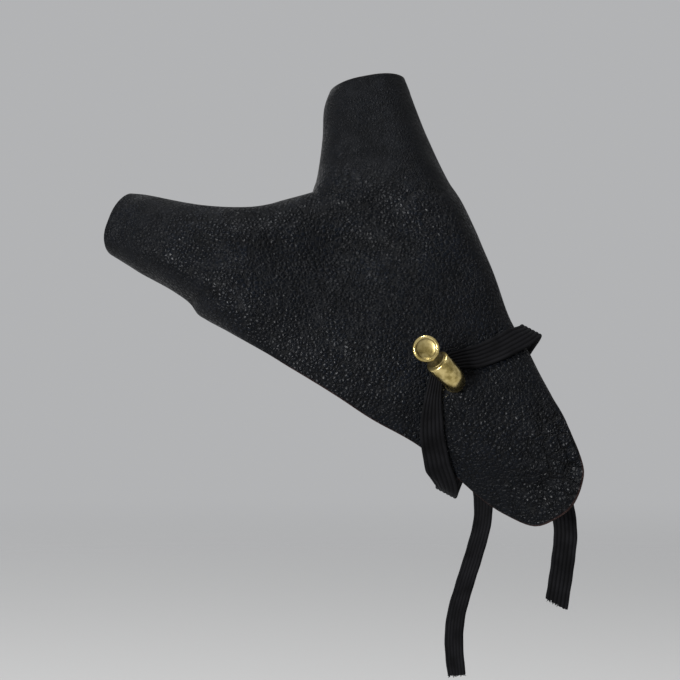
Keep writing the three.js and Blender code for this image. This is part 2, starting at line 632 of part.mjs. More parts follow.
// How far over the wrist's ellipse the elastic's underside lies: clear of the leather as far round as that
// reaches, and close over the wrist beyond.
function elasticSeat(ahead, turn) {
  const signed = ((((turn + 180) % 360) + 360) % 360) - 180;
  const [first, last] = signed > 0 ? leatherTurns.thumbSide : leatherTurns.lowerSide;
  if (Math.abs(signed) > last) return seatGap;
  const slope = Math.cos(rad(signed)) / wristThickness;
  const facing = slope / Math.hypot(slope, Math.sin(rad(signed)) / wristBreadth);
  let seat = 0;
  for (let i = 0; i < seatTries; i++) {
    const point = overWrist(ahead, signed, seat);
    const across = point.x * Math.sin(rad(handSlant)) + point.z * Math.cos(rad(handSlant));
    seat += elasticGap - (backAt(ahead, across) - point.y) * facing;
  }
  const most = lerp(backSeat, sideSeat, smoothstep(Math.abs(signed), sideTurns[0], sideTurns[1]));
  return lerp(clamp(seat, seatGap, most), seatGap, smoothstep(Math.abs(signed), first, last));
}

// Corners of a flat tape's section: shares of its width and thickness, with the corners taken off.
function tapeSection(width, thickness) {
  const w = width / 2;
  const h = thickness / 2;
  const c = tapeCorner * thickness;
  return [
    [-w, h - c], [c - w, h], [w - c, h], [w, h - c],
    [w, c - h], [w - c, -h], [c - w, -h], [-w, c - h],
  ];
}

function wristElastic() {
  const a = wristBreadth / 2;
  const b = wristThickness / 2;
  const arcPerDegree = (turn) => rad(Math.hypot(a * Math.cos(rad(turn)), b * Math.sin(rad(turn))));
  const ring = (turn) => {
    const h = 0.5;
    const rise = (aheadShare(turn + h) - aheadShare(turn - h)) * furthestAhead;
    const slope = rise / (2 * h * arcPerDegree(turn));
    const lean = new THREE.Vector2(1, -slope).normalize();
    return tapeSection(widthShare(turn) * elasticWidth, elasticThickness).map(([q, height]) => {
      const ahead = aheadShare(turn) * furthestAhead + q * lean.x;
      const at = turn + (q * lean.y) / arcPerDegree(turn);
      return overWrist(ahead, at, elasticSeat(ahead, at) + elasticThickness / 2 + height);
    });
  };
  return loft(Array.from({ length: elasticSteps }, (_, i) => ring((i / elasticSteps) * 360)), true);
}

// A hanging end: a flat tape along its route, turned about its own line.
function hangingEnd(route) {
  const points = route.map((row) => new THREE.Vector3(row.x, row.y, row.z));
  const curve = new THREE.CatmullRomCurve3(points, false, 'centripetal');
  const turnAt = through(route.map((row, i) => i), route.map((row) => row.turn));
  const steps = Math.round(curve.getLength() / (endStep * elasticWidth));
  const rings = [];
  for (let i = 0; i <= steps; i++) {
    const share = i / steps;
    const q = curve.getUtoTmapping(share);
    const tangent = curve.getTangent(q);
    const facing = new THREE.Vector3(0, -1, 0).addScaledVector(tangent, tangent.y).normalize();
    const turn = rad(turnAt(q * (route.length - 1)));
    facing.applyAxisAngle(tangent, turn);
    const across = tangent.clone().cross(facing);
    const center = curve.getPoint(q);
    rings.push(tapeSection(elasticWidth, elasticThickness).map(([w, height]) => center.clone()
      .addScaledVector(across, w)
      .addScaledVector(facing, height)));
  }
  return loft(rings);
}

// The knot behind the wrist, turned about a line across the hand.
function elasticKnot() {
  const radius = knotDiameter / 2;
  const profile = knotProfile.map((row) => new THREE.Vector2(row.radius * radius, row.side * knotLength));
  const lift = 2 * seatGap + elasticThickness + radius;
  const across = placed(0, 1, 0);
  const deep = new THREE.Vector3(0, 1, 0);
  const axes = new THREE.Matrix4().makeBasis(deep, across, deep.clone().cross(across));
  axes.setPosition(overWrist(0, knotTurn, lift));
  return new THREE.LatheGeometry(profile, knotSides).applyMatrix4(axes);
}

const leather = () => new THREE.MeshStandardMaterial({ color: 0x191b1f, roughness: 0.6, metalness: 0 });
const elastic = () => new THREE.MeshStandardMaterial({ color: 0x111214, roughness: 0.85, metalness: 0 });
const brass = () => new THREE.MeshStandardMaterial({ color: 0xb0873f, roughness: 0.3, metalness: 1 });

const glove = new THREE.Group();

// Adds one sub-part to the glove.
function add(name, geometry, material) {
  geometry.computeVertexNormals();
  const mesh = new THREE.Mesh(geometry, material);
  mesh.name = name;
  glove.add(mesh);
}

add('back_panel', backPanel(), leather());
add('palm_panel', panel(true), leather());
add('hook_stud', hookStud(), brass());
add('stud_washer', studWasher(), brass());
add('wrist_elastic', wristElastic(), elastic());
add('elastic_knot', elasticKnot(), elastic());
add('elastic_long_end', hangingEnd(longEndRoute), elastic());
add('elastic_short_end', hangingEnd(shortEndRoute), elastic());

export default glove;
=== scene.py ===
import math

import bpy
import numpy as np
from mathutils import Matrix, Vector


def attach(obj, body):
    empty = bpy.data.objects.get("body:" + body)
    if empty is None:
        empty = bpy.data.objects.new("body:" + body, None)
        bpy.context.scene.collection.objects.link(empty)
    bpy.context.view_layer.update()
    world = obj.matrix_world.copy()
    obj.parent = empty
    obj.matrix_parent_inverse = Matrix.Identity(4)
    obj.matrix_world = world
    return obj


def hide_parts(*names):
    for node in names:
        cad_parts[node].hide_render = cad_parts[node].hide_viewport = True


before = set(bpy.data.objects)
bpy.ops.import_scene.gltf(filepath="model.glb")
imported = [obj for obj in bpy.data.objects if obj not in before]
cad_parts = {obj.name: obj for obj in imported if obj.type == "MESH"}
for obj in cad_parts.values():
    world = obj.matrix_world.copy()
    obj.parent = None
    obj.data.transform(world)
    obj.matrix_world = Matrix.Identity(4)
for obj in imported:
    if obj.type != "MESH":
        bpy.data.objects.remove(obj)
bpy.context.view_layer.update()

# Archery glove: pebbled black leather, a ribbed black elastic and a brass hook stud.
# Lengths are in millimetres until a mesh is made. Plan positions run along the hand, toward the
# fingers, and across it, toward the thumb; Y is the depth, with the back of the hand at minus Y.
millimetre = 0.001
print("frame loaded")


# small tools

def smoothstep(x, low, high):  # 0 below low, 1 above high, 3q^2 - 2q^3 between
    q = np.clip((x - low) / (high - low), 0, 1)
    return q * q * (3 - 2 * q)


def lerp(a, b, q):  # a + (b - a) q
    return a + (b - a) * q


def unit(vectors):  # each vector over its own length
    return vectors / np.maximum(np.linalg.norm(vectors, axis=-1, keepdims=True), 1e-9)


def through(xs, ys):  # monotone cubic: at each knot the harmonic mean of the two slopes, 0 at a turn
    xs, ys = np.asarray(xs, float), np.asarray(ys, float)
    slopes = np.diff(ys) / np.diff(xs)
    before, after = np.r_[slopes[0], slopes], np.r_[slopes, slopes[-1]]
    product = before * after
    leans = np.where(product > 0, 2 * product / np.where(product > 0, before + after, 1), 0)

    def value(x):
        x = np.asarray(x, float)
        i = np.clip(np.searchsorted(xs, x, side="left") - 1, 0, len(xs) - 2)
        step = xs[i + 1] - xs[i]
        q = (x - xs[i]) / step
        blend = lerp(ys[i], ys[i + 1], q * q * (3 - 2 * q))
        return blend + step * q * (1 - q) * (leans[i] * (1 - q) - leans[i + 1] * q)
    return value


def curveThrough(points, perSpan=40):
    # centripetal Catmull-Rom curve: each span is a cubic whose knots lie the root of a chord apart;
    # returns its dense points and their shares of its length
    points = np.asarray(points, float)
    ends = [2 * points[0] - points[1], *points, 2 * points[-1] - points[-2]]
    dense = []
    for p0, p1, p2, p3 in zip(ends, ends[1:], ends[2:], ends[3:]):
        d0, d1, d2 = (math.sqrt(np.linalg.norm(b - a)) for a, b in ((p0, p1), (p1, p2), (p2, p3)))
        t1 = ((p1 - p0) / d0 - (p2 - p0) / (d0 + d1) + (p2 - p1) / d1) * d1
        t2 = ((p2 - p1) / d1 - (p3 - p1) / (d1 + d2) + (p3 - p2) / d2) * d1
        q = np.linspace(0, 1, perSpan, endpoint=False)[:, None]
        cubic = (2 * p1 - 2 * p2 + t1 + t2) * q ** 3 + (3 * p2 - 3 * p1 - 2 * t1 - t2) * q ** 2
        dense.append(cubic + t1 * q + p1)
    dense = np.vstack([*dense, points[-1:]])
    steps = np.r_[0, np.cumsum(np.linalg.norm(np.diff(dense, axis=0), axis=1))]
    return dense, steps / steps[-1], steps[-1]


def along(curve, share):  # point of a curve at a share of its length
    dense, shares, _ = curve
    return np.stack([np.interp(share, shares, column) for column in dense.T], axis=-1)


def waves(seed, points, count, longest, shortest):
    # sum of sines in random directions, whose lengths fall from longest to shortest: roughly -1 to 1
    draw = np.random.default_rng(seed)
    lengths = longest * (shortest / longest) ** draw.random(count)
    headings = unit(draw.normal(size=(count, 3)))
    phases = draw.random(count) * 2 * math.pi
    total = np.zeros(points.shape[:-1])
    for length, heading, phase in zip(lengths, headings, phases):
        total += np.sin(points @ heading * (2 * math.pi / length) + phase)
    return total / math.sqrt(count)


def around(angle, first, second):  # points of the unit circle in the plane of two directions
    return first * np.cos(angle)[..., None] + second * np.sin(angle)[..., None]


def ringFaces(rows, columns):  # quads between rings of points, each ring's last point joined to its first
    i, j = np.meshgrid(np.arange(rows - 1), np.arange(columns), indexing="ij")
    k = (j + 1) % columns
    quads = np.stack([i * columns + j, i * columns + k, (i + 1) * columns + k, (i + 1) * columns + j], -1)
    return quads.reshape(-1, 4)


def loopFaces(rows, columns):  # the same where the last ring is the first one again
    return ringFaces(rows, columns) % ((rows - 1) * columns)


def tubeFaces(rows, columns):
    # rings along a tube, shut at either end by rungs between the two halves of the end ring
    k = np.arange(columns // 2 - 1)
    rungs = np.stack([k + 1, k, columns - 1 - k, columns - 2 - k], -1)
    return np.vstack([ringFaces(rows, columns), rungs, rungs[:, ::-1] + (rows - 1) * columns])


def pieceFrom(name, points, faces, marks=None, uv=None):
    # mesh from points in millimetres; marks are numbers kept on the points for the materials
    mesh = bpy.data.meshes.new(name)
    mesh.from_pydata((points * millimetre).tolist(), [], faces.tolist())
    for label, values in (marks or {}).items():
        layer = mesh.attributes.new(label, "FLOAT", "POINT")
        layer.data.foreach_set("value", np.ascontiguousarray(values, np.float32).ravel())
    if uv is not None:
        corners = np.empty(len(mesh.loops), np.int32)
        mesh.loops.foreach_get("vertex_index", corners)
        layer = mesh.uv_layers.new(name="run")
        layer.data.foreach_set("uv", uv[corners].astype(np.float32).ravel())
    mesh.shade_smooth()
    mesh.validate()
    piece = bpy.data.objects.new(name, mesh)
    bpy.context.scene.collection.objects.link(piece)
    return piece


def facesOut(points, faces):  # flips all faces if the volume they enclose is negative
    a, b, c, d = (points[faces[:, k]] for k in range(4))
    volume = np.einsum("ij,ij->", a, np.cross(b, c)) + np.einsum("ij,ij->", a, np.cross(c, d))
    return faces[:, ::-1] if volume < 0 else faces


# camera and stage

view = dict(x=-49.7, z=24.3, distance=800, width=226.7, sensor=36, farthest=20000)


def makeCamera():
    data = bpy.data.cameras.new("camera")
    data.sensor_width = view["sensor"]
    data.lens = data.sensor_width * view["distance"] / view["width"]
    data.clip_end = view["farthest"] * millimetre
    camera = bpy.data.objects.new("camera", data)
    camera.location = Vector((view["x"], -view["distance"], view["z"])) * millimetre
    camera.rotation_euler = (math.pi / 2, 0, 0)
    bpy.context.scene.collection.objects.link(camera)
    bpy.context.scene.camera = camera


makeCamera()
print("camera set")

# materials by expression


class Wire:  # a socket that takes part in arithmetic, each operation adding one Math node
    def __init__(self, tree, socket):
        self.tree = tree
        self.socket = socket

    def math(self, operation, *others):
        return node(self.tree, "ShaderNodeMath", dict(operation=operation), [self, *others])

    def __add__(self, other):
        return self.math("ADD", other)

    def __sub__(self, other):
        return self.math("SUBTRACT", other)

    def __mul__(self, other):
        return self.math("MULTIPLY", other)

    def __rsub__(self, other):
        return node(self.tree, "ShaderNodeMath", dict(operation="SUBTRACT"), [other, self])

    __radd__ = __add__
    __rmul__ = __mul__

    def between(self, low, high):  # 0 below low to 1 above high, smoothly
        settings = dict(interpolation_type="SMOOTHSTEP")
        return node(self.tree, "ShaderNodeMapRange", settings, [self, low, high])


def node(tree, kind, settings=None, values=(), output=0):
    # adds a node, its settings first, then the values or links of its sockets by place or name
    made = tree.nodes.new(kind)
    for name, value in (settings or {}).items():
        setattr(made, name, value)
    for key, value in values.items() if isinstance(values, dict) else enumerate(values):
        if isinstance(value, Wire):
            tree.links.new(value.socket, made.inputs[key])
        else:
            made.inputs[key].default_value = value
    return Wire(tree, made.outputs[output])


def mixColour(tree, factor, a, b):
    # a where the factor is 0, b where it is 1; plain colours get a fourth number
    settings = dict(data_type="RGBA", clamp_factor=True)
    fill = {0: factor}
    fill[6] = a if isinstance(a, Wire) else (*a, 1)
    fill[7] = b if isinstance(b, Wire) else (*b, 1)
    return node(tree, "ShaderNodeMix", settings, fill, 2)


def newMaterial(name, constants):  # one shader, with what is the same all over set on its own sockets
    material = bpy.data.materials.new(name)
    material.use_nodes = True
    shader = material.node_tree.nodes["Principled BSDF"]
    for key, value in constants.items():
        shader.inputs[key].default_value = value
    return material, material.node_tree, shader


def drive(tree, shader, **wires):  # links wires to the shader's sockets by name
    for key, wire in wires.items():
        tree.links.new(wire.socket, shader.inputs[key.replace("_", " ")])


def objectPlace(tree):
    return node(tree, "ShaderNodeTexCoord", None, (), "Object")


def mark(tree, name):  # a number kept on the mesh's points
    return node(tree, "ShaderNodeAttribute", dict(attribute_name=name), (), "Fac")


def clouds(tree, place, size, detail, roughness=0.5, output=0):  # noise whose largest patches are size mm
    fill = {"Vector": place, "Scale": 1 / (size * millimetre), "Detail": detail, "Roughness": roughness}
    return node(tree, "ShaderNodeTexNoise", None, fill, output)


def bumps(tree, height, distance, strength):  # normals tilted by a height, distance mm from 0 to 1
    fill = {"Height": height, "Distance": distance * millimetre, "Strength": strength}
    return node(tree, "ShaderNodeBump", None, fill)


def weighed(weights, start, **wires):  # start plus each wire times the weight of its name
    return sum((wires[name] * weight for name, weight in weights.items()), start)


# leather

leatherLook = dict(
    # the crease colour is the painted shade in the grooves, the crinkle lines and the sunken folds
    tone=(0.0008, 0.0012, 0.0021), worn=(0.0020, 0.0029, 0.0049), crease=(0.0004, 0.0005, 0.0007),
    edge=(0.014, 0.006, 0.005), flesh=(0.03, 0.026, 0.024), specular=0.09, relief=0.5,
    # sizes in millimetres of the cells, and of the patches and lumps that lie over them
    pebble=1.3, smallPebble=0.8, pore=0.42, crinkle=4.6, patch=13, drift=4.5, lump=2.6, roughness=0.55,
    # how far the cells are pushed about, and the size of what pushes them
    wander=0.9, wanderSize=1 / 0.6, turned=(0.61, 0.37, 0.83),
    # distances over which a pebble falls from its top, and the widths of a groove and of a fine fold
    top=(0.2, 0.68), smooth=0.3, groove=0.17, crinkleGroove=0.09,
    # patches, from where they start to where they are full
    wornPatch=(0.4, 0.7), glossPatch=(0.35, 0.7), driftPatch=(0.32, 0.62), leastDrift=0.4,
    # weights of each part of the grain in the wear, the painted shade, the dullness and the height
    # the finer parts, on the thumb side and at the index tip, get less wear colour, which is painted shade
    finerShade=0.6, grooveShade=dict(furrow=0.75, crinkle=0.6), foldShade=0.5, dullness=0.46,
    dull=dict(crown=-0.12, furrow=0.2, finer=0.12, patch=-0.07, flesh=0.4, edge=0.2),
    grain=dict(crown=0.42, furrow=-0.5), finerFlat=0.15, fleshFlat=0.7,
    rise=dict(pores=-0.1, crinkle=-0.9, lumps=0.5),
)


def leatherMaterial():
    # grain: broad pebbles parted by narrow grooves, whose depth comes and goes; the grooves are duller and
    # painted darker, as painted shade, the crowns glossier, and the marked folds get painted shade too
    look = leatherLook
    material, tree, shader = newMaterial("pebbledLeather", {"Specular IOR Level": look["specular"]})
    fill = {"Vector": objectPlace(tree), "Rotation": look["turned"]}
    turned = node(tree, "ShaderNodeMapping", None, fill)
    wander = clouds(tree, turned, look["wanderSize"], 2, output="Color")
    grainPlace = node(tree, "ShaderNodeVectorMath", dict(operation="MULTIPLY_ADD"),
                      [wander, [look["wander"] * millimetre] * 3, turned])
    marks = ("finer", "edge", "flesh", "hollow", "crinkled")
    finer, edge, flesh, hollow, crinkled = (mark(tree, name) for name in marks)

    def cells(size, feature, **more):  # cell pattern whose cells are that many mm across
        fill = {"Vector": grainPlace, "Scale": 1 / (size * millimetre), "Randomness": 1, **more}
        return node(tree, "ShaderNodeTexVoronoi", dict(feature=feature), fill, "Distance")

    def lines(size, width):  # 1 on the lines between cells
        return 1 - cells(size, "DISTANCE_TO_EDGE").between(0, width)

    def pebbled(size):  # crowns high, grooves low
        crown = 1 - cells(size, "SMOOTH_F1", Smoothness=look["smooth"]).between(*look["top"])
        return crown, lines(size, look["groove"])

    # large pebbles give way to small ones where the leather is marked finer
    pairs = zip(pebbled(look["pebble"]), pebbled(look["smallPebble"]))
    crown, furrow = (large * (1 - finer) + small * finer for large, small in pairs)
    crinkle = lines(look["crinkle"], look["crinkleGroove"]) * crinkled
    pores = cells(look["pore"], "F1")
    patch, drift, lumps = (
        clouds(tree, turned, look[name], detail, look["roughness"])
        for name, detail in (("patch", 3), ("drift", 2), ("lump", 3)))
    drift = drift.between(*look["driftPatch"]) * (1 - look["leastDrift"]) + look["leastDrift"]

    # wear lightens the crowns in patches; the finer parts get less of it, which is painted shade
    worn = patch.between(*look["wornPatch"]) * crown * (1 - finer * look["finerShade"])
    # painted shade: the grooves and the crinkle lines are darkened toward the crease colour
    grooveShade = weighed(look["grooveShade"], 0, furrow=furrow * drift, crinkle=crinkle)
    colour = mixColour(tree, worn, look["tone"], look["worn"])
    colour = mixColour(tree, grooveShade, colour, look["crease"])
    # painted shade: the sunken fine folds are darkened too
    colour = mixColour(tree, hollow * look["foldShade"], colour, look["crease"])
    colour = mixColour(tree, flesh, colour, look["flesh"])
    colour = mixColour(tree, edge, colour, look["edge"])
    roughness = weighed(look["dull"], look["dullness"], crown=crown, furrow=furrow, finer=finer,
                        patch=patch.between(*look["glossPatch"]), flesh=flesh, edge=edge)
    grain = weighed(look["grain"], 0, crown=crown, furrow=furrow) * drift * (1 - finer * look["finerFlat"])
    height = weighed(look["rise"], grain, pores=pores, crinkle=crinkle, lumps=lumps)
    normal = bumps(tree, height * (1 - flesh * look["fleshFlat"]), look["relief"], 1)
    drive(tree, shader, Base_Color=colour, Roughness=roughness, Normal=normal)
    return material


hand = dict(
    fingerReach=140, thumbReach=86, backHeight=24, slant=28, thickness=1.4, seamGap=0.3,
    indexLean=22, thumbLean=12, indexAim=-9.5, thumbAim=51.5,
)
indexWeb = dict(
    along=[0.996, 0.972, 0.836, 0.739, 0.697, 0.669, 0.617],
    across=[0.104, 0.12, 0.186, 0.26, 0.309, 0.354, 0.436])
thumbWeb = dict(
    along=[0.617, 0.626, 0.658, 0.69, 0.696],
    across=[0.436, 0.497, 0.638, 0.75, 0.812])
outline = dict(
    along=[0.968, 0.871, 0.795, 0.747, 0.718, 0.695, 0.6, 0.47, 0.346, 0.239, 0.126, 0.032, -0.056, -0.136,
           -0.21, -0.239, -0.26, -0.249, -0.221, -0.142, -0.072, 0.002, 0.058, 0.136, 0.204, 0.287, 0.313,
           0.343, 0.446, 0.551],
    across=[-0.148, -0.156, -0.158, -0.169, -0.191, -0.194, -0.194, -0.201, -0.213, -0.229, -0.234, -0.263,
            -0.299, -0.316, -0.301, -0.247, -0.166, -0.045, 0.018, 0.125, 0.202, 0.289, 0.348, 0.463, 0.559,
            0.666, 0.693, 0.721, 0.848, 1])
# height of the back over plan spots, as shares of backHeight
heights = dict(
    along=[0, 0, 0, 0, 0, -0.143, -0.25, -0.25, -0.157, 0.235, 0.321, 0.714, 0.714, 0.503, 0.281, 0.435, 0.62,
           0.849, 0.978],
    across=[-0.314, -0.174, 0, 0.174, 0.303, -0.326, -0.175, 0, 0.128, -0.233, 0.058, -0.058, -0.174, 0.302,
            0.415, 0.638, 0.892, -0.05, -0.023],
    y=[-0.48, -0.83, -0.94, -0.83, -0.53, -0.5, -0.86, -0.98, -0.9, -0.94, -1.02, -1.02, -0.88, -0.58, -0.67,
       -0.46, -0.03, -0.67, -0.21])
# dents of the back from one plan spot to another
folds = [
    dict(along=0.78, across=0.03, toAlong=0.42, toAcross=0.29, width=0.3, rise=0.06),
    dict(along=-0.06, across=-0.2, toAlong=-0.2, toAcross=-0.15, width=0.16, rise=0.035),
    dict(along=-0.12, across=-0.06, toAlong=-0.23, toAcross=-0.02, width=0.12, rise=0.025),
    dict(along=0.36, across=0.47, toAlong=0.52, toAcross=0.52, width=0.2, rise=0.035),
]
# sections from the web's crest to the outline, in order from the index rim round to the thumb rim
sections = dict(
    web=[0, 0.125, 0.25, 0.355, 0.48, 0.553, 0.6, 0.626, 0.64, 0.653, 0.668, 0.68, 0.695, 0.716, 0.85, 1],
    rim=[0, 0.039, 0.075, 0.106, 0.155, 0.21, 0.263, 0.335, 0.45, 0.585, 0.708, 0.78, 0.842, 0.876, 0.935, 1],
    webY=[0.25, 0.01, -0.22, -0.25, -0.17, -0.06, 0, 0.03, 0.04, 0.05, 0.06, 0.07, 0.08, 0.1, 0.24, 0.49],
    rimY=[0.25, 0, -0.25, -0.39, -0.5, -0.58, -0.66, -0.6, -0.5, -0.6, -0.24, -0.15, 0.02, 0.15, 0.32, 0.49],
    palmY=[0.71, 0.52, 0.3, 0.22, 0.22, 0.24, 0.28, 0.32, 0.36, 0.4, 0.46, 0.54, 0.66, 0.8, 0.92, 1],
    webRoll=[0.4, 0.46, 0.52, 0.56, 0.58, 0.58, 0.58, 0.58, 0.58, 0.58, 0.58, 0.6, 0.62, 0.62, 0.54, 0.47],
    rimRoll=[0.4, 0.44, 0.5, 0.5, 0.4, 0.3, 0.25, 0.25, 0.25, 0.25, 0.4, 0.4, 0.46, 0.5, 0.48, 0.47],
    open=[0, 0, 0, 0, 0.6, 0.95, 1, 1, 1, 1, 0.5, 0.35, 0.2, 0, 0, 0],
    palmReach=[1.6, 1.6, 1.6, 1.6, 0.85, 0.68, 0.64, 0.63, 0.65, 0.72, 0.82, 1.06, 1.44, 1.98, 2, 2],
    lean=[1, 0.75, 0.3, 0, 0, 0, 0, 0, 0, 0, 0, 0, 0, 0, 0.6, 1],
    rows=[22, 22, 20, 20, 18, 18, 16, 20, 28, 26, 20, 18, 18, 20, 30])
wrist = dict(
    breadth=57, thickness=42, tapeWidth=8, tapeThickness=1.25, gap=0.4, press=0.5, seatGap=0.3,
    backSeat=5, sideSeat=3, sideTurns=(45, 66), thumbTurns=(58, 112), lowerTurns=(50, 100),
    rings=421, softTurns=(48, 64), gatherThick=0.35, gatherDeep=1.2,
    knotLength=12, knotDiameter=7.5, knotTurn=186)
elasticWay = dict(
    turn=[-4, 7, 15, 21, 29, 48, 70, 110, 250, 290, 315, 335],
    ahead=[0.93, 1, 0.95, 0.8, 0.58, 0.28, 0.06, 0, 0, 0.04, 0.39, 0.7],
    width=[0.64, 0.55, 0.6, 0.75, 0.92, 1, 1, 1, 1, 1, 1, 0.95])
stud = dict(
    post=6.4, head=8.7, reach=14.2, height=17, turn=13, ahead=16.2, across=3.4,
    washer=11, washerThickness=1.2, washerLift=0.6)


def placed(u, v, y):  # plan position and depth to the part's own axes, turned by the slant
    cos, sin = math.cos(math.radians(hand["slant"])), math.sin(math.radians(hand["slant"]))
    return np.stack(np.broadcast_arrays(-cos * u + sin * v, y, sin * u + cos * v), -1)


def planPoints(table):  # shares of the two reaches to plan millimetres
    return np.column_stack([table["along"], table["across"]]) * [hand["fingerReach"], hand["thumbReach"]]


def bending(r2):  # r^2 log r^2, the thin plate's own function
    return np.where(r2 > 0, r2 * np.log(np.maximum(r2, 1e-12)), 0)


def thinPlate(table):
    # smoothest sheet through the heights: a weighted sum of r^2 log r^2 plus a plane
    spots = planPoints(table)
    n = len(spots)
    matrix = np.zeros((n + 3, n + 3))
    matrix[:n, :n] = bending(((spots[:, None] - spots[None]) ** 2).sum(-1))
    matrix[:n, n:] = np.column_stack([np.ones(n), spots])
    matrix[n:, :n] = matrix[:n, n:].T
    weights = np.linalg.solve(matrix, np.r_[np.array(table["y"]) * hand["backHeight"], 0, 0, 0])

    def height(u, v):
        total = weights[n] + weights[n + 1] * u + weights[n + 2] * v
        for (a, b), weight in zip(spots, weights):
            total = total + weight * bending((u - a) ** 2 + (v - b) ** 2)
        return total
    return height


plainBack = thinPlate(heights)
indexCurve = curveThrough(planPoints(indexWeb))
thumbCurve = curveThrough(planPoints(thumbWeb))
outlineCurve = curveThrough(planPoints(outline))
crotchShare = indexCurve[2] / (indexCurve[2] + thumbCurve[2])


def webPoint(share):  # the web's crest, which turns sharply between its two curves
    first = along(indexCurve, np.clip(share / crotchShare, 0, 1))
    second = along(thumbCurve, np.clip((share - crotchShare) / (1 - crotchShare), 0, 1))
    return np.where((share < crotchShare)[:, None], first, second)


def wayColumn(name):  # a column of the elastic's way over the turn, repeated every lap
    turns = np.concatenate([np.add(elasticWay["turn"], lap) for lap in (-360, 0, 360)])
    value = through(turns, elasticWay[name] * 3)
    return lambda turn: value(np.mod(turn, 360))


aheadShare = wayColumn("ahead")
widthShare = wayColumn("width")
gatheredHalf = wrist["tapeWidth"] * min(elasticWay["width"]) / 2
furthestAhead = stud["ahead"] + stud["post"] / 2 + 2 * wrist["seatGap"] + gatheredHalf


def foldDistance(fold, u, v):  # distance from a plan spot to the fold's straight line
    reach = np.array([hand["fingerReach"], hand["thumbReach"]])
    start = np.array([fold["along"], fold["across"]]) * reach
    run = np.array([fold["toAlong"], fold["toAcross"]]) * reach - start
    q = np.clip(((u - start[0]) * run[0] + (v - start[1]) * run[1]) / (run @ run), 0, 1)
    return np.hypot(u - start[0] - q * run[0], v - start[1] - q * run[1])


def elasticDistance(u, v):  # how far ahead of the elastic's middle a plan spot lies
    turn = np.degrees(np.arcsin(np.clip(2 * v / wrist["breadth"], -1, 1)))
    return u - aheadShare(turn) * furthestAhead


def backAt(u, v):  # the sheet, a bell-shaped dent at each fold and another under the elastic
    y = plainBack(u, v)
    for fold in folds:
        q = foldDistance(fold, u, v) / (fold["width"] * hand["backHeight"])
        y = y + fold["rise"] * hand["backHeight"] * np.exp(-q * q)
    q = elasticDistance(u, v) / wrist["tapeWidth"]
    return y + wrist["press"] * np.exp(-q * q)


def rounding(q):  # quarter ellipse from 0 at a side to 1 where its round ends
    return np.where(q < 1, np.sqrt(np.maximum(0, 1 - (1 - np.minimum(q, 1)) ** 2)), 1)


panelSteps = dict(back=104, palm=56, rollPart=0.25, edgePart=0.08, palmRollPart=0.4, widestRoll=0.46)
cut = {name: through(range(16), column) for name, column in sections.items() if name != "rows"}
crotchSection = next(i for i, web in enumerate(sections["web"]) if web > crotchShare)


def reachAt(t, full, webRoll, rimRoll, webPart, rimPart):
    # distance from the web line for a share of the steps, closer together on the rounded sides
    near = webRoll * (1 - np.cos(t / webPart * math.pi / 2))
    far = full - rimRoll * (1 - np.cos((1 - t) / rimPart * math.pi / 2))
    middle = lerp(webRoll, full - rimRoll, (t - webPart) / (1 - webPart - rimPart))
    return np.where(t < webPart, near, np.where(t > 1 - rimPart, far, middle))


def stepAt(reach, full, webRoll, rimRoll, webPart, rimPart):  # the inverse of reachAt
    near = webPart * np.arccos(np.clip(1 - reach / webRoll, 0, 1)) / (math.pi / 2)
    far = 1 - rimPart * np.arccos(np.clip(1 - (full - reach) / rimRoll, 0, 1)) / (math.pi / 2)
    middle = lerp(webPart, 1 - rimPart, (reach - webRoll) / (full - webRoll - rimRoll))
    return np.where(reach < webRoll, near, np.where(reach > full - rimRoll, far, middle))


def leatherGrid(palm, s, t):
    # outer face of a panel: s runs through the sections, t from the web line to the outline; the depth
    # goes from the seam's height to the sheet's over a quarter ellipse at either side
    web = webPoint(np.clip(cut["web"](s), 0, 1))
    span = along(outlineCurve, np.clip(cut["rim"](s), 0, 1)) - web
    full = np.linalg.norm(span, axis=1)[:, None]
    column = {name: value(s)[:, None] for name, value in cut.items()}
    high = hand["backHeight"]
    webRoll = np.minimum(column["webRoll"] * high, panelSteps["widestRoll"] * full)
    rimRoll = np.minimum(column["rimRoll"] * high, panelSteps["widestRoll"] * full)
    open = 0 * column["open"] if palm else column["open"]
    rimPart = lerp(panelSteps["rollPart"], panelSteps["edgePart"], open)
    parts = [panelSteps["palmRollPart"]] * 2 if palm else [panelSteps["rollPart"], rimPart]
    covered = np.minimum(column["palmReach"] * high, full) if palm else full
    lastStep = stepAt(covered, full, webRoll, rimRoll, *parts)
    reach = reachAt(t[None] * lastStep, full, webRoll, rimRoll, *parts)
    spot = web[:, None] + span[:, None] * (reach / full)[..., None]
    seamY = lerp(column["webY"], column["rimY"], reach / full) * high
    deepY = column["palmY"] * high if palm else backAt(spot[..., 0], spot[..., 1])
    closing = lerp(rounding((full - reach) / rimRoll), 1, open)
    y = lerp(seamY, deepY, rounding(reach / webRoll) * closing)
    onIndex = (s < crotchSection)[:, None]
    aim = np.radians(np.where(onIndex, hand["indexAim"], hand["thumbAim"]))
    lean = np.tan(np.radians(np.where(onIndex, hand["indexLean"], hand["thumbLean"])))
    slide = column["lean"] * lean * (seamY - y)
    return spot[..., 0] + slide * np.cos(aim), spot[..., 1] + slide * np.sin(aim), y


def gridNormals(points, turned):  # cross product of the two differences along the grid
    alongS, alongT = np.gradient(points, axis=0), np.gradient(points, axis=1)
    normal = np.cross(alongS, alongT)
    return unit(-normal if turned else normal)


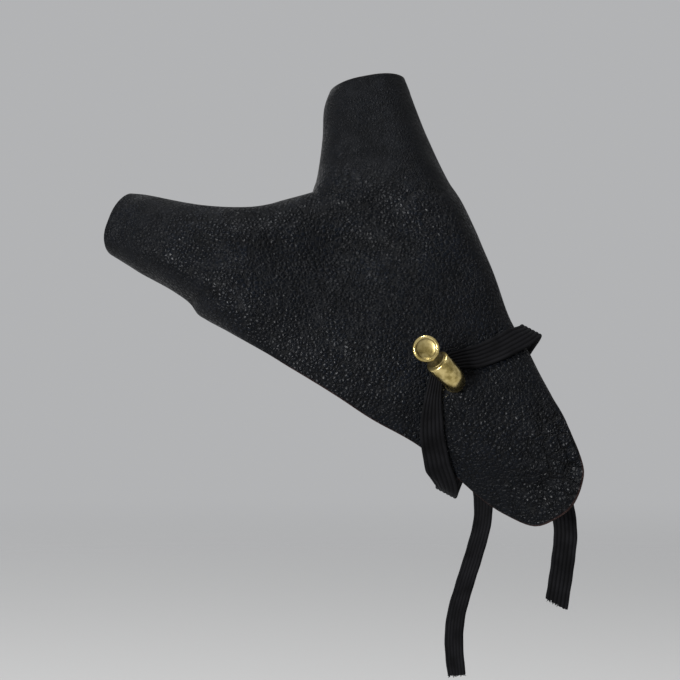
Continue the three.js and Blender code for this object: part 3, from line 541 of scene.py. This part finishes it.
# fine folds of the leather: plan spots where they start and end, how wide and how deep in millimetres
creases = dict(
    along=[0.8, 0.84, 0.745, 0.6, 0.56, 0.42, -0.07, -0.11, -0.13, -0.17, -0.2, -0.09, -0.15],
    across=[0.06, 0.12, -0.16, 0.34, 0.28, 0.6, 0.16, 0.14, 0.1, 0.05, -0.02, 0.02, -0.1],
    toAlong=[0.62, 0.7, 0.7, 0.47, 0.36, 0.34, -0.2, -0.17, -0.24, -0.19, -0.25, -0.16, -0.22],
    toAcross=[0.2, 0.25, -0.05, 0.52, 0.4, 0.68, -0.2, -0.02, -0.1, -0.24, -0.14, 0.09, -0.22],
    width=[1.9, 1.3, 1.5, 1.7, 2.2, 1.4, 1, 0.8, 0.9, 0.8, 0.7, 0.8, 0.9],
    depth=[0.42, 0.3, 0.5, 0.32, 0.3, 0.35, 0.32, 0.26, 0.34, 0.28, 0.26, 0.24, 0.26])
panelForm = dict(
    # places across the cut edge's lip; the middle one stands twice, so that each ring has two equal halves
    lip=(0.12, 0.5, 0.5, 0.88), lipRound=0.6, openBulge=0.3, seamBulge=0.03, palmBulge=0.22, cutReach=1.5,
    capInset=0.3, capBulge=0.25, seamFade=0.06, endFade=6, pressed=(4.5, 7),
    # waves: how many, the longest and the shortest, and their height or the way that they push a fold
    swell=(18, 26, 9), swellHeight=0.22, wander=(10, 16, 5), wanderReach=1.1, dentWidth=1.6, dentDepth=0.3,
    # marks for the material: where each starts and is full, and how much a fold's depth counts
    # in the painted shade of the folds
    edgeMark=(0.1, 0.5), foldMark=2.2, finerThumb=(62, 84), thumbShare=0.75, finerIndex=(112, 130),
    crinkleAhead=(6, 18), crinkleAcross=(-12, 12))


def creaseDepth(u, v, points):
    # depth of all fine folds: each a bell across its own line, which wanders, and fades at its ends
    wander, other = (waves(seed, points, *panelForm["wander"]) * panelForm["wanderReach"] for seed in (5, 6))
    total = np.zeros(u.shape)
    for numbers in zip(*creases.values()):
        crease = dict(zip(creases, numbers))
        q = foldDistance(crease, u + wander, v + other) / crease["width"]
        total += crease["depth"] * np.exp(-q * q)
    return total


def leatherPanel(name, palm):
    # closed wall: the outer face, a rounded cut edge, the flesh side offset inward along the normals
    form = panelForm
    count = panelSteps["palm" if palm else "back"]
    stations = np.concatenate([i + np.arange(n) / n for i, n in enumerate(sections["rows"])] + [[15]])
    t = np.linspace(0, 1, count + 1)
    u, v, y = leatherGrid(palm, stations, t)
    outer = placed(u, v, y + (0.5 if palm else -0.5) * hand["seamGap"])
    open = np.ones((len(stations), 1)) if palm else cut["open"](stations)[:, None]
    # along a seam the flesh side keeps the depth of the outer face
    normals = gridNormals(outer, not palm)
    normals[:, 0, 1] = 0
    if not palm:
        normals[:, -1, 1] *= open[:, 0]
    normals = unit(normals)

    # relief fades to nothing at the seams and under the elastic, and the post's foot dents the leather
    ends = np.minimum(np.arange(len(stations)), len(stations) - 1 - np.arange(len(stations)))[:, None]
    fade = form["seamFade"]
    sides = smoothstep(t, 0, fade)[None] * lerp(1 - smoothstep(t, 1 - fade, 1)[None], 1, open)
    relief = sides * smoothstep(ends, 0, form["endFade"])
    lift = waves(3, outer, *form["swell"]) * form["swellHeight"] * relief
    sunk = np.zeros(u.shape)
    if not palm:
        clear = smoothstep(np.abs(elasticDistance(u, v)), *form["pressed"])
        sunk = creaseDepth(u, v, outer) * relief * clear
        fromPost = np.hypot(u - stud["ahead"], v - stud["across"]) - stud["post"] / 2
        lift = lift * clear - sunk - np.exp(-(fromPost / form["dentWidth"]) ** 2) * form["dentDepth"]
    face = outer + normals * lift[..., None]
    flesh = outer - normals * hand["thickness"]

    # the lip bulges outward between the two faces, and both end rings are drawn in to a shallow cap
    cutEdge = (cut["palmReach"](stations) < form["cutReach"]).astype(float)[:, None] if palm else open
    bulge = form["palmBulge"] * cutEdge if palm else form["openBulge"] * open + form["seamBulge"]
    outward = unit(outer[:, -1] - outer[:, -2]) * bulge
    lip = [lerp(face[:, -1], flesh[:, -1], share) + outward * math.sin(share * math.pi) ** form["lipRound"]
           for share in form["lip"]]
    ring = np.concatenate([face, np.stack(lip, 1), flesh[:, ::-1]], axis=1)
    middle = (ring + ring[:, ::-1]) / 2
    first, last = (
        lerp(ring[row], middle[row], form["capInset"]) + unit(ring[row] - ring[inside]) * form["capBulge"]
        for row, inside in ((0, 1), (-1, -2)))
    rings = np.concatenate([first[None], ring, last[None]])
    rows, columns = rings.shape[:2]

    marks = {label: np.zeros((rows, columns)) for label in ("edge", "flesh", "hollow", "finer", "crinkled")}
    onFace = (slice(1, -1), slice(count + 1))
    onLip = (slice(1, -1), slice(count + 1, count + 1 + len(lip)))
    fromEdge = np.linalg.norm(outer - outer[:, -1:], axis=2)
    marks["edge"][onLip] = cutEdge
    marks["edge"][onFace] = cutEdge * (1 - smoothstep(fromEdge, *form["edgeMark"]))
    marks["edge"][[0, -1]] = 1
    marks["flesh"][:, count + 1 + len(lip):] = 1
    # the sunken folds are marked for their painted shade
    marks["hollow"][onFace] = np.clip(sunk * form["foldMark"], 0, 1)
    # finer grain at the index tip and on the thumb side, where less wear colour also paints shade
    marks["finer"][onFace] = lerp(
        smoothstep(u, *form["finerIndex"]), smoothstep(u * 0.3 + v, *form["finerThumb"]), form["thumbShare"])
    if not palm:
        tongue = smoothstep(-u, *form["crinkleAhead"])
        marks["crinkled"][onFace] = tongue * smoothstep(v - 0.5 * u, *form["crinkleAcross"])
    points = rings.reshape(-1, 3)
    return pieceFrom(name, points, facesOut(points, tubeFaces(rows, columns)), marks)


leather = leatherMaterial()
for nodeName, palm in (("back_panel", False), ("palm_panel", True)):
    panel = leatherPanel("leather_" + nodeName, palm)
    panel.data.materials.append(leather)
    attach(panel, "root")
    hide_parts(nodeName)
print("leather made")

# elastic: a ribbed tape

tapeLook = dict(
    # the second colour is the lighter one of the painted highlight on the rib tops
    tone=(0.0008, 0.0008, 0.001), raised=(0.0055, 0.0055, 0.0065), specular=0.05,
    sheen=0.02, sheenRoughness=0.45, sheenTint=(0.5, 0.52, 0.56, 1),
    ribs=6, ribSteps=8, ribDepth=0.24, ribRound=0.7, cornerRound=14,
    # length of a stitch, size of a thread and of the patches, and the weights of weave, thread and rib in the
    # painted rib highlight and the height
    pick=0.42, thread=1 / 5.2, patch=6.25, patchRange=(0.2, 0.8), weaveShown=0.6, leastShown=0.3, ribHighlightAndWeave=1.2,
    rise=dict(weave=0.7, thread=0.4), relief=0.1, reliefStrength=0.6, dullness=0.9, ribGloss=0.14)


def elasticMaterial():
    # lengthwise ribs are in the mesh; the weave across them is two slanted rows of small stitches; the rib
    # tops are painted lighter than the grooves, a painted highlight, with the stitches lighter on them
    look = tapeLook
    material, tree, shader = newMaterial("ribbedElastic", {
        "Specular IOR Level": look["specular"], "Sheen Weight": look["sheen"],
        "Sheen Roughness": look["sheenRoughness"], "Sheen Tint": look["sheenTint"]})
    place = objectPlace(tree)
    run = node(tree, "ShaderNodeUVMap", dict(uv_map="run"))
    across, length = (node(tree, "ShaderNodeSeparateXYZ", None, [run], axis) for axis in ("X", "Y"))
    turns = length * (2 * math.pi / look["pick"])
    slant = across * (2 * math.pi)
    stitch, other = (wire.math("SINE").math("ABSOLUTE") for wire in (turns + slant, turns - slant))
    weave = stitch * 0.5 + other * 0.5
    thread, patch = (clouds(tree, place, look[name], 2) for name in ("thread", "patch"))
    rib = mark(tree, "rib")
    # painted highlight: lighter on the rib tops, in patches, and more where the stitches stand
    ribHighlightAndWeave = rib * (weave * look["weaveShown"] + look["leastShown"]) * patch.between(*look["patchRange"])
    colour = mixColour(tree, ribHighlightAndWeave * look["ribHighlightAndWeave"], look["tone"], look["raised"])
    height = weighed(look["rise"], 0, weave=weave, thread=thread)
    normal = bumps(tree, height, look["relief"], look["reliefStrength"])
    roughness = look["dullness"] - rib * look["ribGloss"]
    drive(tree, shader, Base_Color=colour, Roughness=roughness, Normal=normal)
    return material


elastic = elasticMaterial()


def ribRow(place):  # ribs side by side, a power of the sine: 0 in a groove, 1 on a top, one rib to a unit
    return np.abs(np.sin(place * math.pi)) ** tapeLook["ribRound"]


def tapeSection():
    # a tape's section as one ring, there and back: place across it from -1 to 1, the ribs, a number
    # that falls from 1 to 0 at the corners, and 1 on the outer side or -1 on the inner
    look = tapeLook
    q = np.linspace(-1, 1, look["ribs"] * look["ribSteps"] + 1)
    corner = np.sqrt(np.maximum(0, 1 - np.abs(q) ** look["cornerRound"]))
    there = np.stack([q, ribRow((q + 1) / 2 * look["ribs"]), corner, np.ones(len(q))])
    back = there[:, ::-1] * [[1], [1], [1], [-1]]
    return np.hstack([there[:, :-1], back[:, :-1]])


def tapeRings(centre, tangent, facing, width):
    # each section lies across the run: half its width along tangent x facing, and half its thickness,
    # less the depth of its grooves, along facing
    q, rib, corner, side = tapeSection()
    across = unit(np.cross(tangent, facing))
    lift = side * (wrist["tapeThickness"] / 2 - tapeLook["ribDepth"] * (1 - rib)) * corner
    points = centre[:, None] + across[:, None] * (q * width[:, None] / 2)[..., None]
    return points + facing[:, None] * lift[:, None], q, rib


def tapeMesh(name, points, q, rib, length, looped):
    # rings joined along the run; the last ring of a loop repeats the first one's place
    rows, columns = points.shape[:2]
    flat = points.reshape(-1, 3)
    faces = facesOut(flat, loopFaces(rows, columns) if looped else tubeFaces(rows, columns))
    uv = np.stack(np.broadcast_arrays(q[None] * tapeLook["ribs"] / 2, length[:, None]), -1).reshape(-1, 2)
    keep = len(flat) - columns if looped else len(flat)
    marks = dict(rib=np.broadcast_to(rib, (rows, columns)).reshape(-1)[:keep])
    return pieceFrom(name, flat[:keep], faces, marks, uv[:keep])


def overWrist(ahead, turn, lift):  # a point of the wrist's ellipse at a turn, raised along its normal
    a, b = wrist["breadth"] / 2, wrist["thickness"] / 2
    turned = np.radians(turn)
    normal = unit(np.stack([np.sin(turned) / a, -np.cos(turned) / b], -1))
    return ahead, a * np.sin(turned) + lift * normal[..., 0], -b * np.cos(turned) + lift * normal[..., 1]


def elasticSeat(ahead, turn):
    # height over the ellipse: clear of the leather as far round as that reaches, then down to the wrist
    signed = np.mod(turn + 180, 360) - 180
    thumb = signed > 0
    first = np.where(thumb, wrist["thumbTurns"][0], wrist["lowerTurns"][0])
    last = np.where(thumb, wrist["thumbTurns"][1], wrist["lowerTurns"][1])
    slope = np.cos(np.radians(signed)) / wrist["thickness"]
    facing = slope / np.hypot(slope, np.sin(np.radians(signed)) / wrist["breadth"])
    seat = np.zeros(np.shape(turn))
    for _ in range(6):
        _, v, y = overWrist(ahead, signed, seat)
        seat = seat + wrist["gap"] - (backAt(ahead, v) - y) * facing
    reach = np.abs(signed)
    most = lerp(wrist["backSeat"], wrist["sideSeat"], smoothstep(reach, *wrist["sideTurns"]))
    seat = np.clip(np.where(reach < last, seat, 0), wrist["seatGap"], most)
    return lerp(seat, wrist["seatGap"], smoothstep(reach, first, last))


def loopBlur(rows, reach=20, spread=7):
    # each row averaged with its neighbours round the loop, weighted by a bell; the last row is the first
    shifts = np.arange(-reach, reach + 1)
    weights = np.exp(-(shifts / spread) ** 2 / 2)
    total = sum(weight * np.roll(rows[:-1], k, axis=0) for k, weight in zip(shifts, weights)) / weights.sum()
    return np.vstack([total, total[:1]])


def wristElastic():
    # rings round the wrist, their width across the run, each point seated over the leather by itself
    q, rib, corner, side = tapeSection()
    turn = np.linspace(0, 360, wrist["rings"])
    a, b = wrist["breadth"] / 2, wrist["thickness"] / 2
    # millimetres to a degree of turn, and how the way runs ahead over them
    arc = np.radians(np.hypot(a * np.cos(np.radians(turn)), b * np.sin(np.radians(turn))))
    step = 0.5
    slope = (aheadShare(turn + step) - aheadShare(turn - step)) * furthestAhead / (2 * step * arc)
    lean = unit(np.stack([np.ones_like(slope), -slope], -1))
    width = (widthShare(turn) * wrist["tapeWidth"])[:, None]
    ahead = (aheadShare(turn) * furthestAhead)[:, None] + q * width / 2 * lean[:, :1]
    at = turn[:, None] + q * width / 2 * lean[:, 1:] / arc[:, None]
    # where the tape is gathered it is thicker and its grooves are deeper
    gathered = 1 - width / wrist["tapeWidth"]
    rise = wrist["tapeThickness"] / 2 * (1 + wrist["gatherThick"] * gathered)
    rise = rise - tapeLook["ribDepth"] * (1 + wrist["gatherDeep"] * gathered) * (1 - rib)
    # away from the back of the hand its seat is evened out along the run
    seat = elasticSeat(ahead, at)
    away = np.minimum(turn, 360 - turn)[:, None]
    seat = lerp(seat, loopBlur(seat), smoothstep(away, *wrist["softTurns"]))
    points = placed(*overWrist(ahead, at, seat + wrist["tapeThickness"] / 2 + side * rise * corner))
    # the weave repeats a whole number of times round the loop
    length = np.r_[0, np.cumsum(np.linalg.norm(np.diff(points.mean(1), axis=0), axis=1))]
    length *= round(length[-1] / tapeLook["pick"]) * tapeLook["pick"] / length[-1]
    return tapeMesh("ribbed_wrist_elastic", points, q, rib, length, True)


band = wristElastic()
band.data.materials.append(elastic)
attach(band, "root")
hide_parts("wrist_elastic")

# the two hanging ends: centre line in millimetres, and degrees by which the tape turns about it
longEnd = dict(
    x=[-2.5, -2, -0.6, -1.1, -3.5, -7.4, -10.2, -11.1, -10.9, -10.2],
    y=[25, 24.5, 22.5, 20, 18, 16, 14, 13, 12, 12],
    z=[-9.6, -18, -30, -38, -47, -59, -68.5, -76, -83, -89],
    turn=[0, 18, 38, 45, 46, 46, 44, 42, 42, 44], slant=0.4, threads=46)
shortEnd = dict(
    x=[2.3, 6.4, 12, 19, 24.6, 26.8, 25.8, 24.5, 23.4],
    y=[26.2, 25.9, 24.5, 21.5, 18, 14.5, 12, 11, 10],
    z=[-4.7, -6.6, -9.5, -16.5, -27, -40, -50, -58.5, -64.8],
    turn=[0, 0, 0, 4, 8, 8, 4, 0, 0], slant=-1.1, threads=40)


endForm = dict(
    ringStep=0.35, widthWave=0.012, widthTurn=0.9, cutRun=6, ragged=(8, 5, 0.9), raggedReach=0.34,
    # loose threads: rings and sides of each, its size, its way and how deep it starts in the tape
    threadRings=5, threadSides=5, threadRadius=0.17, thinning=0.5, shortest=0.4, longer=0.75, drift=0.5,
    acrossShare=0.94, deepShare=0.7, sunk=0.3, frayRib=0.3)


def frayedThreads(seed, end, direction, across, facing, count):
    # loose threads at a cut: short tubes that start inside the tape's cut face and drift aside by the
    # square of the share of their length
    form = endForm
    draw = np.random.default_rng(seed)
    start = (draw.random(count) - 0.5) * wrist["tapeWidth"] * form["acrossShare"]
    level = (draw.random(count) - 0.5) * wrist["tapeThickness"] * form["deepShare"]
    reach = (form["shortest"] + form["longer"] * draw.random(count) ** 2)[:, None]
    drift = draw.normal(size=(count, 2)) * form["drift"]
    rows, sides = form["threadRings"], form["threadSides"]
    q = np.linspace(0, 1, rows)
    base = end(start) + facing * level[:, None]
    line = base[:, None] + direction * (q * reach - form["sunk"])[..., None]
    line = line + across * (drift[:, :1] * q ** 2 * reach)[..., None]
    line = line + facing * (drift[:, 1:] * q ** 2 * reach * form["deepShare"])[..., None]
    radius = form["threadRadius"] * (1 - form["thinning"] * q)
    circle = around(np.arange(sides) * 2 * math.pi / sides, across, facing)
    tubes = line[:, :, None] + radius[:, None, None] * circle
    faces = ringFaces(rows, sides) + (np.arange(count) * rows * sides)[:, None, None]
    return tubes.reshape(-1, 3), faces.reshape(-1, 4)


def hangingEnd(name, route, seed):
    # a tape along its route that faces minus Y and is turned about it: facing cos + (tangent x facing) sin
    form = endForm
    curve = curveThrough(np.column_stack([route["x"], route["y"], route["z"]]))
    total = curve[2]
    share = np.linspace(0, 1, int(total / form["ringStep"]) + 1)
    centre = along(curve, share)
    tangent = unit(np.gradient(centre, axis=0))
    knots = np.interp(np.arange(len(route["x"])) / (len(route["x"]) - 1),
                      np.linspace(0, 1, len(curve[1])), curve[1])
    turn = np.radians(through(knots, route["turn"])(share))[:, None]
    facing = unit(np.array([0, -1, 0]) + tangent * tangent[:, 1:2])
    facing = facing * np.cos(turn) + np.cross(tangent, facing) * np.sin(turn)
    width = wrist["tapeWidth"] * (1 + form["widthWave"] * np.sin(share * total * form["widthTurn"]))
    points, q, rib = tapeRings(centre, tangent, facing, width)
    # the cut runs askew and is ragged: the last stretch slides along the run with the place across
    ragged = waves(seed, np.stack([q * 4, q * 0, q * 0], -1), *form["ragged"]) * form["raggedReach"]
    slide = (q * route["slant"] + ragged)[None] * smoothstep(share, 1 - form["cutRun"] / total, 1)[:, None]
    points = points + tangent[:, None] * slide[..., None]
    piece = tapeMesh(name, points, q, rib, share * total, False)
    across = unit(np.cross(tangent[-1], facing[-1]))

    def cutAt(start):  # the place on the askew cut at a distance from its middle
        offset = start / (wrist["tapeWidth"] / 2) * route["slant"]
        return centre[-1] + across * start[:, None] + tangent[-1] * offset[:, None]

    tufts, faces = frayedThreads(seed, cutAt, tangent[-1], across, facing[-1], route["threads"])
    # the loose threads get a little of the painted rib highlight
    marks = dict(rib=np.full(len(tufts), form["frayRib"]))
    fray = pieceFrom(name + "_fray", tufts, faces, marks, np.zeros((len(tufts), 2)))
    return piece, fray, centre, total


for nodeName, route, seed in (("elastic_long_end", longEnd, 21), ("elastic_short_end", shortEnd, 22)):
    end, fray, centre, total = hangingEnd("ribbed_" + nodeName, route, seed)
    for piece in (end, fray):
        piece.data.materials.append(elastic)
        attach(piece, "root")
    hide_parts(nodeName)
    centre[0] * millimetre
    total * millimetre
    (centre[::4] * millimetre).tolist() + [(centre[-1] * millimetre).tolist()]
    print(nodeName, "length", round(total, 1), "mm")


knotForm = dict(
    rings=97, sides=96, lean=0.13, leanTurn=0.6, groove=0.16, grooveEnd=6, oval=0.04, ovalTurn=0.8,
    place=[-1, -0.97, -0.84, -0.5, -0.16, 0, 0.16, 0.5, 0.84, 0.97, 1],
    size=[0.02, 0.6, 0.9, 1, 0.93, 0.78, 0.93, 1, 0.9, 0.6, 0.02])


def knotMesh():
    # two wraps of tape side by side round the knot's own line across the hand: each wrap is a round
    # bulge with ribs running round it, and the second leans over the first like a half hitch
    form = knotForm
    s, a = np.meshgrid(np.linspace(-1, 1, form["rings"]),
                       np.linspace(0, 2 * math.pi, form["sides"], endpoint=False), indexing="ij")
    lean = s + form["lean"] * np.sin(a + form["leanTurn"]) * (1 - s * s)
    rib = ribRow(lean * tapeLook["ribs"])
    radius = wrist["knotDiameter"] / 2 * through(form["place"], form["size"])(np.clip(lean, -1, 1))
    radius = radius - form["groove"] * (1 - rib) * np.sqrt(np.maximum(0, 1 - np.abs(s) ** form["grooveEnd"]))
    radius = radius * (1 + form["oval"] * np.cos(2 * a + form["ovalTurn"]))
    lift = 2 * wrist["seatGap"] + wrist["tapeThickness"] + wrist["knotDiameter"] / 2
    _, v, y = overWrist(0, np.array(wrist["knotTurn"]), lift)
    acrossHand, deep = placed(0, 1, 0), np.array([0.0, 1.0, 0.0])
    points = placed(0, v, y) + acrossHand * (s * wrist["knotLength"] / 2)[..., None]
    points = points + around(a, deep, np.cross(deep, acrossHand)) * radius[..., None]
    flat = points.reshape(-1, 3)
    uv = np.stack([lean * tapeLook["ribs"] / 2, a * wrist["knotDiameter"] / 2], -1).reshape(-1, 2)
    faces = facesOut(flat, tubeFaces(form["rings"], form["sides"]))
    return pieceFrom("tied_knot", flat, faces, dict(rib=rib), uv)


knot = knotMesh()
knot.data.materials.append(elastic)
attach(knot, "root")
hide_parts("elastic_knot")
print("elastic made")

# brass hook stud

brassLook = dict(
    bright=(0.74, 0.6, 0.27), deep=(0.3, 0.225, 0.062), tarnish=(0.03, 0.023, 0.01),
    # sizes in millimetres of patches and specks, and how scratches are drawn out and turned
    patch=3.2, speck=0.6, roughness=0.6, scratchScale=(9000, 1400, 1400), scratchTurn=(0.3, 0.7, 0.5),
    deepRange=(0.35, 0.65), deepShare=0.85, dullRange=(0.5, 0.72), dullShare=0.55, speckRange=(0.25, 0.75),
    hollowLeast=0.75, hollowSpeck=0.3, gloss=0.1, dull=dict(dulled=0.34, speck=0.12, scratch=0.08),
    rise=dict(patch=0.5, scratch=0.25), relief=0.12, reliefStrength=0.35)


def brassMaterial():
    # bright brass with deeper patches, tarnished in specks and wherever the mesh is marked hollow, and
    # finely scratched
    look = brassLook
    material, tree, shader = newMaterial("agedBrass", {"Metallic": 1})
    place = objectPlace(tree)
    patch = clouds(tree, place, look["patch"], 4, look["roughness"])
    speck = clouds(tree, place, look["speck"], 3, look["roughness"])
    fill = {"Vector": place, "Scale": look["scratchScale"], "Rotation": look["scratchTurn"]}
    drawnOut = node(tree, "ShaderNodeMapping", None, fill)
    scratch = node(tree, "ShaderNodeTexNoise", None, {"Vector": drawnOut, "Scale": 1, "Detail": 2})
    dulled = patch.between(*look["dullRange"]) * look["dullShare"] * speck.between(*look["speckRange"])
    dulled = dulled + mark(tree, "hollow") * (speck * look["hollowSpeck"] + look["hollowLeast"])
    deeper = patch.between(*look["deepRange"]) * look["deepShare"]
    colour = mixColour(tree, deeper, look["bright"], look["deep"])
    colour = mixColour(tree, dulled, colour, look["tarnish"])
    roughness = weighed(look["dull"], look["gloss"], dulled=dulled, speck=speck, scratch=scratch)
    height = weighed(look["rise"], 0, patch=patch, scratch=scratch)
    normal = bumps(tree, height, look["relief"], look["reliefStrength"])
    drive(tree, shader, Base_Color=colour, Roughness=roughness, Normal=normal)
    return material


brass = brassMaterial()
# centre line of the hook: shares of its reach and height, and radii as shares of half the head's width;
# tarnish sits in the throat under the head, and round the foot
hookLine = dict(
    out=[0, 0.02, 0.14, 0.42, 0.66, 0.81, 0.93, 0.99],
    up=[0, 0.17, 0.36, 0.52, 0.64, 0.74, 0.83, 0.885],
    place=[0, 0.18, 0.4, 0.6, 0.665, 0.685, 0.7, 0.86, 0.93, 1],
    radius=[0.78, 0.82, 0.88, 0.93, 0.93, 0.88, 0.62, 0.6, 0.5, 0.28],
    rings=161, sides=64, throat=(0.675, 0.7), foot=0.2, footMark=0.8, postRings=8, postTop=0.6, postMark=0.6)
# section of the head from its underside over the rim into the dish, which is tarnished
headLine = dict(
    radius=[0, 0.7, 0.9, 0.97, 1, 0.985, 0.94, 0.87, 0.8, 0.74, 0.66, 0.4, 0.01],
    up=[0.87, 0.87, 0.886, 0.905, 0.935, 0.965, 0.988, 1, 0.998, 0.985, 0.97, 0.957, 0.952],
    rings=97, sides=72, dishFrom=8.5, dishDarkest=9.4, dishMark=0.5, dishMore=0.3, rimMark=0.05)


def studAxes():
    # up stands square to the leather at the post, out lies along it under the hook
    u, v, step = stud["ahead"], stud["across"], 0.5
    centre = placed(u, v, backAt(u, v) - hand["seamGap"] / 2)
    du = placed(u + step, v, backAt(u + step, v)) - placed(u - step, v, backAt(u - step, v))
    dv = placed(u, v + step, backAt(u, v + step)) - placed(u, v - step, backAt(u, v - step))
    up = unit(np.cross(du, dv))
    up = -up if up[1] > 0 else up
    turned = math.radians(stud["turn"])
    out = placed(math.cos(turned), math.sin(turned), 0)
    out = unit(out - up * (out @ up))
    return centre, up, out, np.cross(up, out)


studCentre, studUp, studOut, studSide = studAxes()


def sweptTube(centre, radius, marks):
    # circles of the given radii square to a centre line, with their first point to the stud's side
    sides = hookLine["sides"]
    tangent = unit(np.gradient(centre, axis=0))
    first = unit(studSide - tangent * (tangent @ studSide)[:, None])
    angle = np.linspace(0, 2 * math.pi, sides, endpoint=False)
    circle = around(angle, first[:, None], np.cross(tangent, first)[:, None])
    points = (centre[:, None] + circle * radius[:, None, None]).reshape(-1, 3)
    return points, facesOut(points, tubeFaces(len(centre), sides)), np.repeat(marks, sides)


def hookArm():  # the arm bent over the elastic, thick as far as its throat and thin under the head
    sizes = np.array([stud["reach"], stud["height"]])
    curve = curveThrough(np.column_stack([hookLine["out"], hookLine["up"]]) * sizes)
    share = np.linspace(0, 1, hookLine["rings"])
    bend = along(curve, share)
    radius = through(hookLine["place"], np.multiply(hookLine["radius"], stud["head"] / 2))(share)
    centre = studCentre + bend[:, :1] * studOut + bend[:, 1:] * studUp
    foot = (1 - smoothstep(share, 0, hookLine["foot"])) * hookLine["footMark"]
    return sweptTube(centre, radius, smoothstep(share, *hookLine["throat"]) + foot)


def hookPost():  # the foot goes on down through the leather as a straight post
    bottom = -hand["thickness"] - stud["washerLift"] - stud["washerThickness"]
    count = hookLine["postRings"]
    depth = np.linspace(bottom, hookLine["postTop"], count)
    centre = studCentre + depth[:, None] * studUp
    return sweptTube(centre, np.full(count, stud["post"] / 2), np.full(count, hookLine["postMark"]))


def hookHead():  # the head's section turned about its own line, which is parallel to the post
    knots = range(len(headLine["radius"]))
    place = np.linspace(0, knots[-1], headLine["rings"])
    radius = through(knots, headLine["radius"])(place) * stud["head"] / 2
    rise = through(knots, headLine["up"])(place) * stud["height"]
    sides = headLine["sides"]
    circle = around(np.linspace(0, 2 * math.pi, sides, endpoint=False), studOut, studSide)
    points = studCentre + studOut * stud["reach"] + radius[:, None, None] * circle
    points = (points + rise[:, None, None] * studUp).reshape(-1, 3)
    dish = headLine["dishMark"] + headLine["dishMore"] * np.exp(-(place - headLine["dishDarkest"]) ** 2)
    dish = np.where(place > headLine["dishFrom"], dish, headLine["rimMark"])
    return points, facesOut(points, tubeFaces(len(place), sides)), np.repeat(dish, sides)


def hookMesh():
    points, faces, hollow = zip(hookArm(), hookPost(), hookHead())
    offsets = np.cumsum([0] + [len(part) for part in points])
    return pieceFrom("brass_hook", np.vstack(points),
                     np.vstack([part + offset for part, offset in zip(faces, offsets)]),
                     dict(hollow=np.concatenate(hollow)))


hook = hookMesh()
hook.data.materials.append(brass)
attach(hook, "root")
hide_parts("hook_stud")


washerForm = dict(rings=72, sides=40, corner=0.35, mark=0.35)


def squared(x):  # a small power of a sine or cosine, which turns a circle into a square with round corners
    return np.sign(x) * np.abs(x) ** washerForm["corner"]


def washerMesh():
    # flat ring on the flesh side with rounded rims, its section carried round the post's line
    inner, outer = stud["post"] / 2 + wrist["seatGap"], stud["washer"] / 2
    top = -hand["thickness"] - stud["washerLift"]
    rings, sides = washerForm["rings"], washerForm["sides"]
    turn = np.linspace(0, 2 * math.pi, sides, endpoint=False)
    radius = (inner + outer) / 2 + (outer - inner) / 2 * squared(np.cos(turn))
    rise = top - stud["washerThickness"] / 2 * (1 - squared(np.sin(turn)))
    circle = around(np.linspace(0, 2 * math.pi, rings), studOut, studSide)
    points = studCentre + circle[:, None] * radius[:, None] + rise[:, None] * studUp
    points = points[:-1].reshape(-1, 3)
    faces = facesOut(points, loopFaces(rings, sides))
    return pieceFrom("brass_washer", points, faces, dict(hollow=np.full(len(points), washerForm["mark"])))


washer = washerMesh()
washer.data.materials.append(brass)
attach(washer, "root")
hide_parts("stud_washer")
print("brass made")

# floor, surround and lights

studio = dict(
    floor=-150, floorRadii=[1, 250, 600, 1000, 1500, 2200], floorSides=64, floorColour=(0.5, 0.5, 0.497, 1),
    floorRoughness=0.9, floorSpecular=0.1, floorFade=(0.35, 1.9),
    surround=0.46, surroundColour=(0.97, 0.98, 1, 1), aim=(-0.04, 0, 0.02),
    # place in metres, size in metres and power of each light
    lights=dict(
        key=((-0.75, -1.1, 0.12), (0.26, 0.26), 32),
        top=((-0.1, -0.3, 1.4), (0.3, 0.3), 14),
        fill=((1.2, -1.1, 0.4), (0.8, 0.8), 1.5),
        back=((-0.9, 1.2, 0.7), (1.0, 0.8), 3.5)))


def makeStage():
    # a round pale floor that thins out to nothing toward its rim, so that it meets the pale surround
    # with no line; each ring is a circle of points
    angle = np.linspace(0, 2 * math.pi, studio["floorSides"], endpoint=False)
    circle = around(angle, np.array([1, 0, 0]), np.array([0, 1, 0]))
    points = np.array(studio["floorRadii"])[:, None, None] * circle + [0, 0, studio["floor"]]
    faces = ringFaces(len(studio["floorRadii"]), len(angle))[:, ::-1]
    stage = pieceFrom("studio_floor", points.reshape(-1, 3), faces)
    material, tree, shader = newMaterial("paleFloor", {
        "Roughness": studio["floorRoughness"], "Base Color": studio["floorColour"],
        "Specular IOR Level": studio["floorSpecular"]})
    far = node(tree, "ShaderNodeVectorMath", dict(operation="LENGTH"), [objectPlace(tree)], "Value")
    drive(tree, shader, Alpha=1 - far.between(*studio["floorFade"]))
    stage.data.materials.append(material)


def paleSurround():  # the same pale light from everywhere
    world = bpy.data.worlds.new("studio")
    world.use_nodes = True
    background = world.node_tree.nodes["Background"]
    background.inputs["Color"].default_value = studio["surroundColour"]
    background.inputs["Strength"].default_value = studio["surround"]
    bpy.context.scene.world = world


def softLight(name, place, size, power):  # a panel of light turned toward the studio's aim
    data = bpy.data.lights.new(name, "AREA")
    data.shape = "RECTANGLE"
    data.size, data.size_y = size
    data.energy = power
    light = bpy.data.objects.new(name, data)
    light.location = place
    light.rotation_euler = (Vector(studio["aim"]) - Vector(place)).to_track_quat("-Z", "Y").to_euler()
    bpy.context.scene.collection.objects.link(light)


makeStage()
paleSurround()
for name, (place, size, power) in studio["lights"].items():
    softLight(name, place, size, power)
bpy.context.scene.view_settings.view_transform = "Standard"
print("stage and lights set")
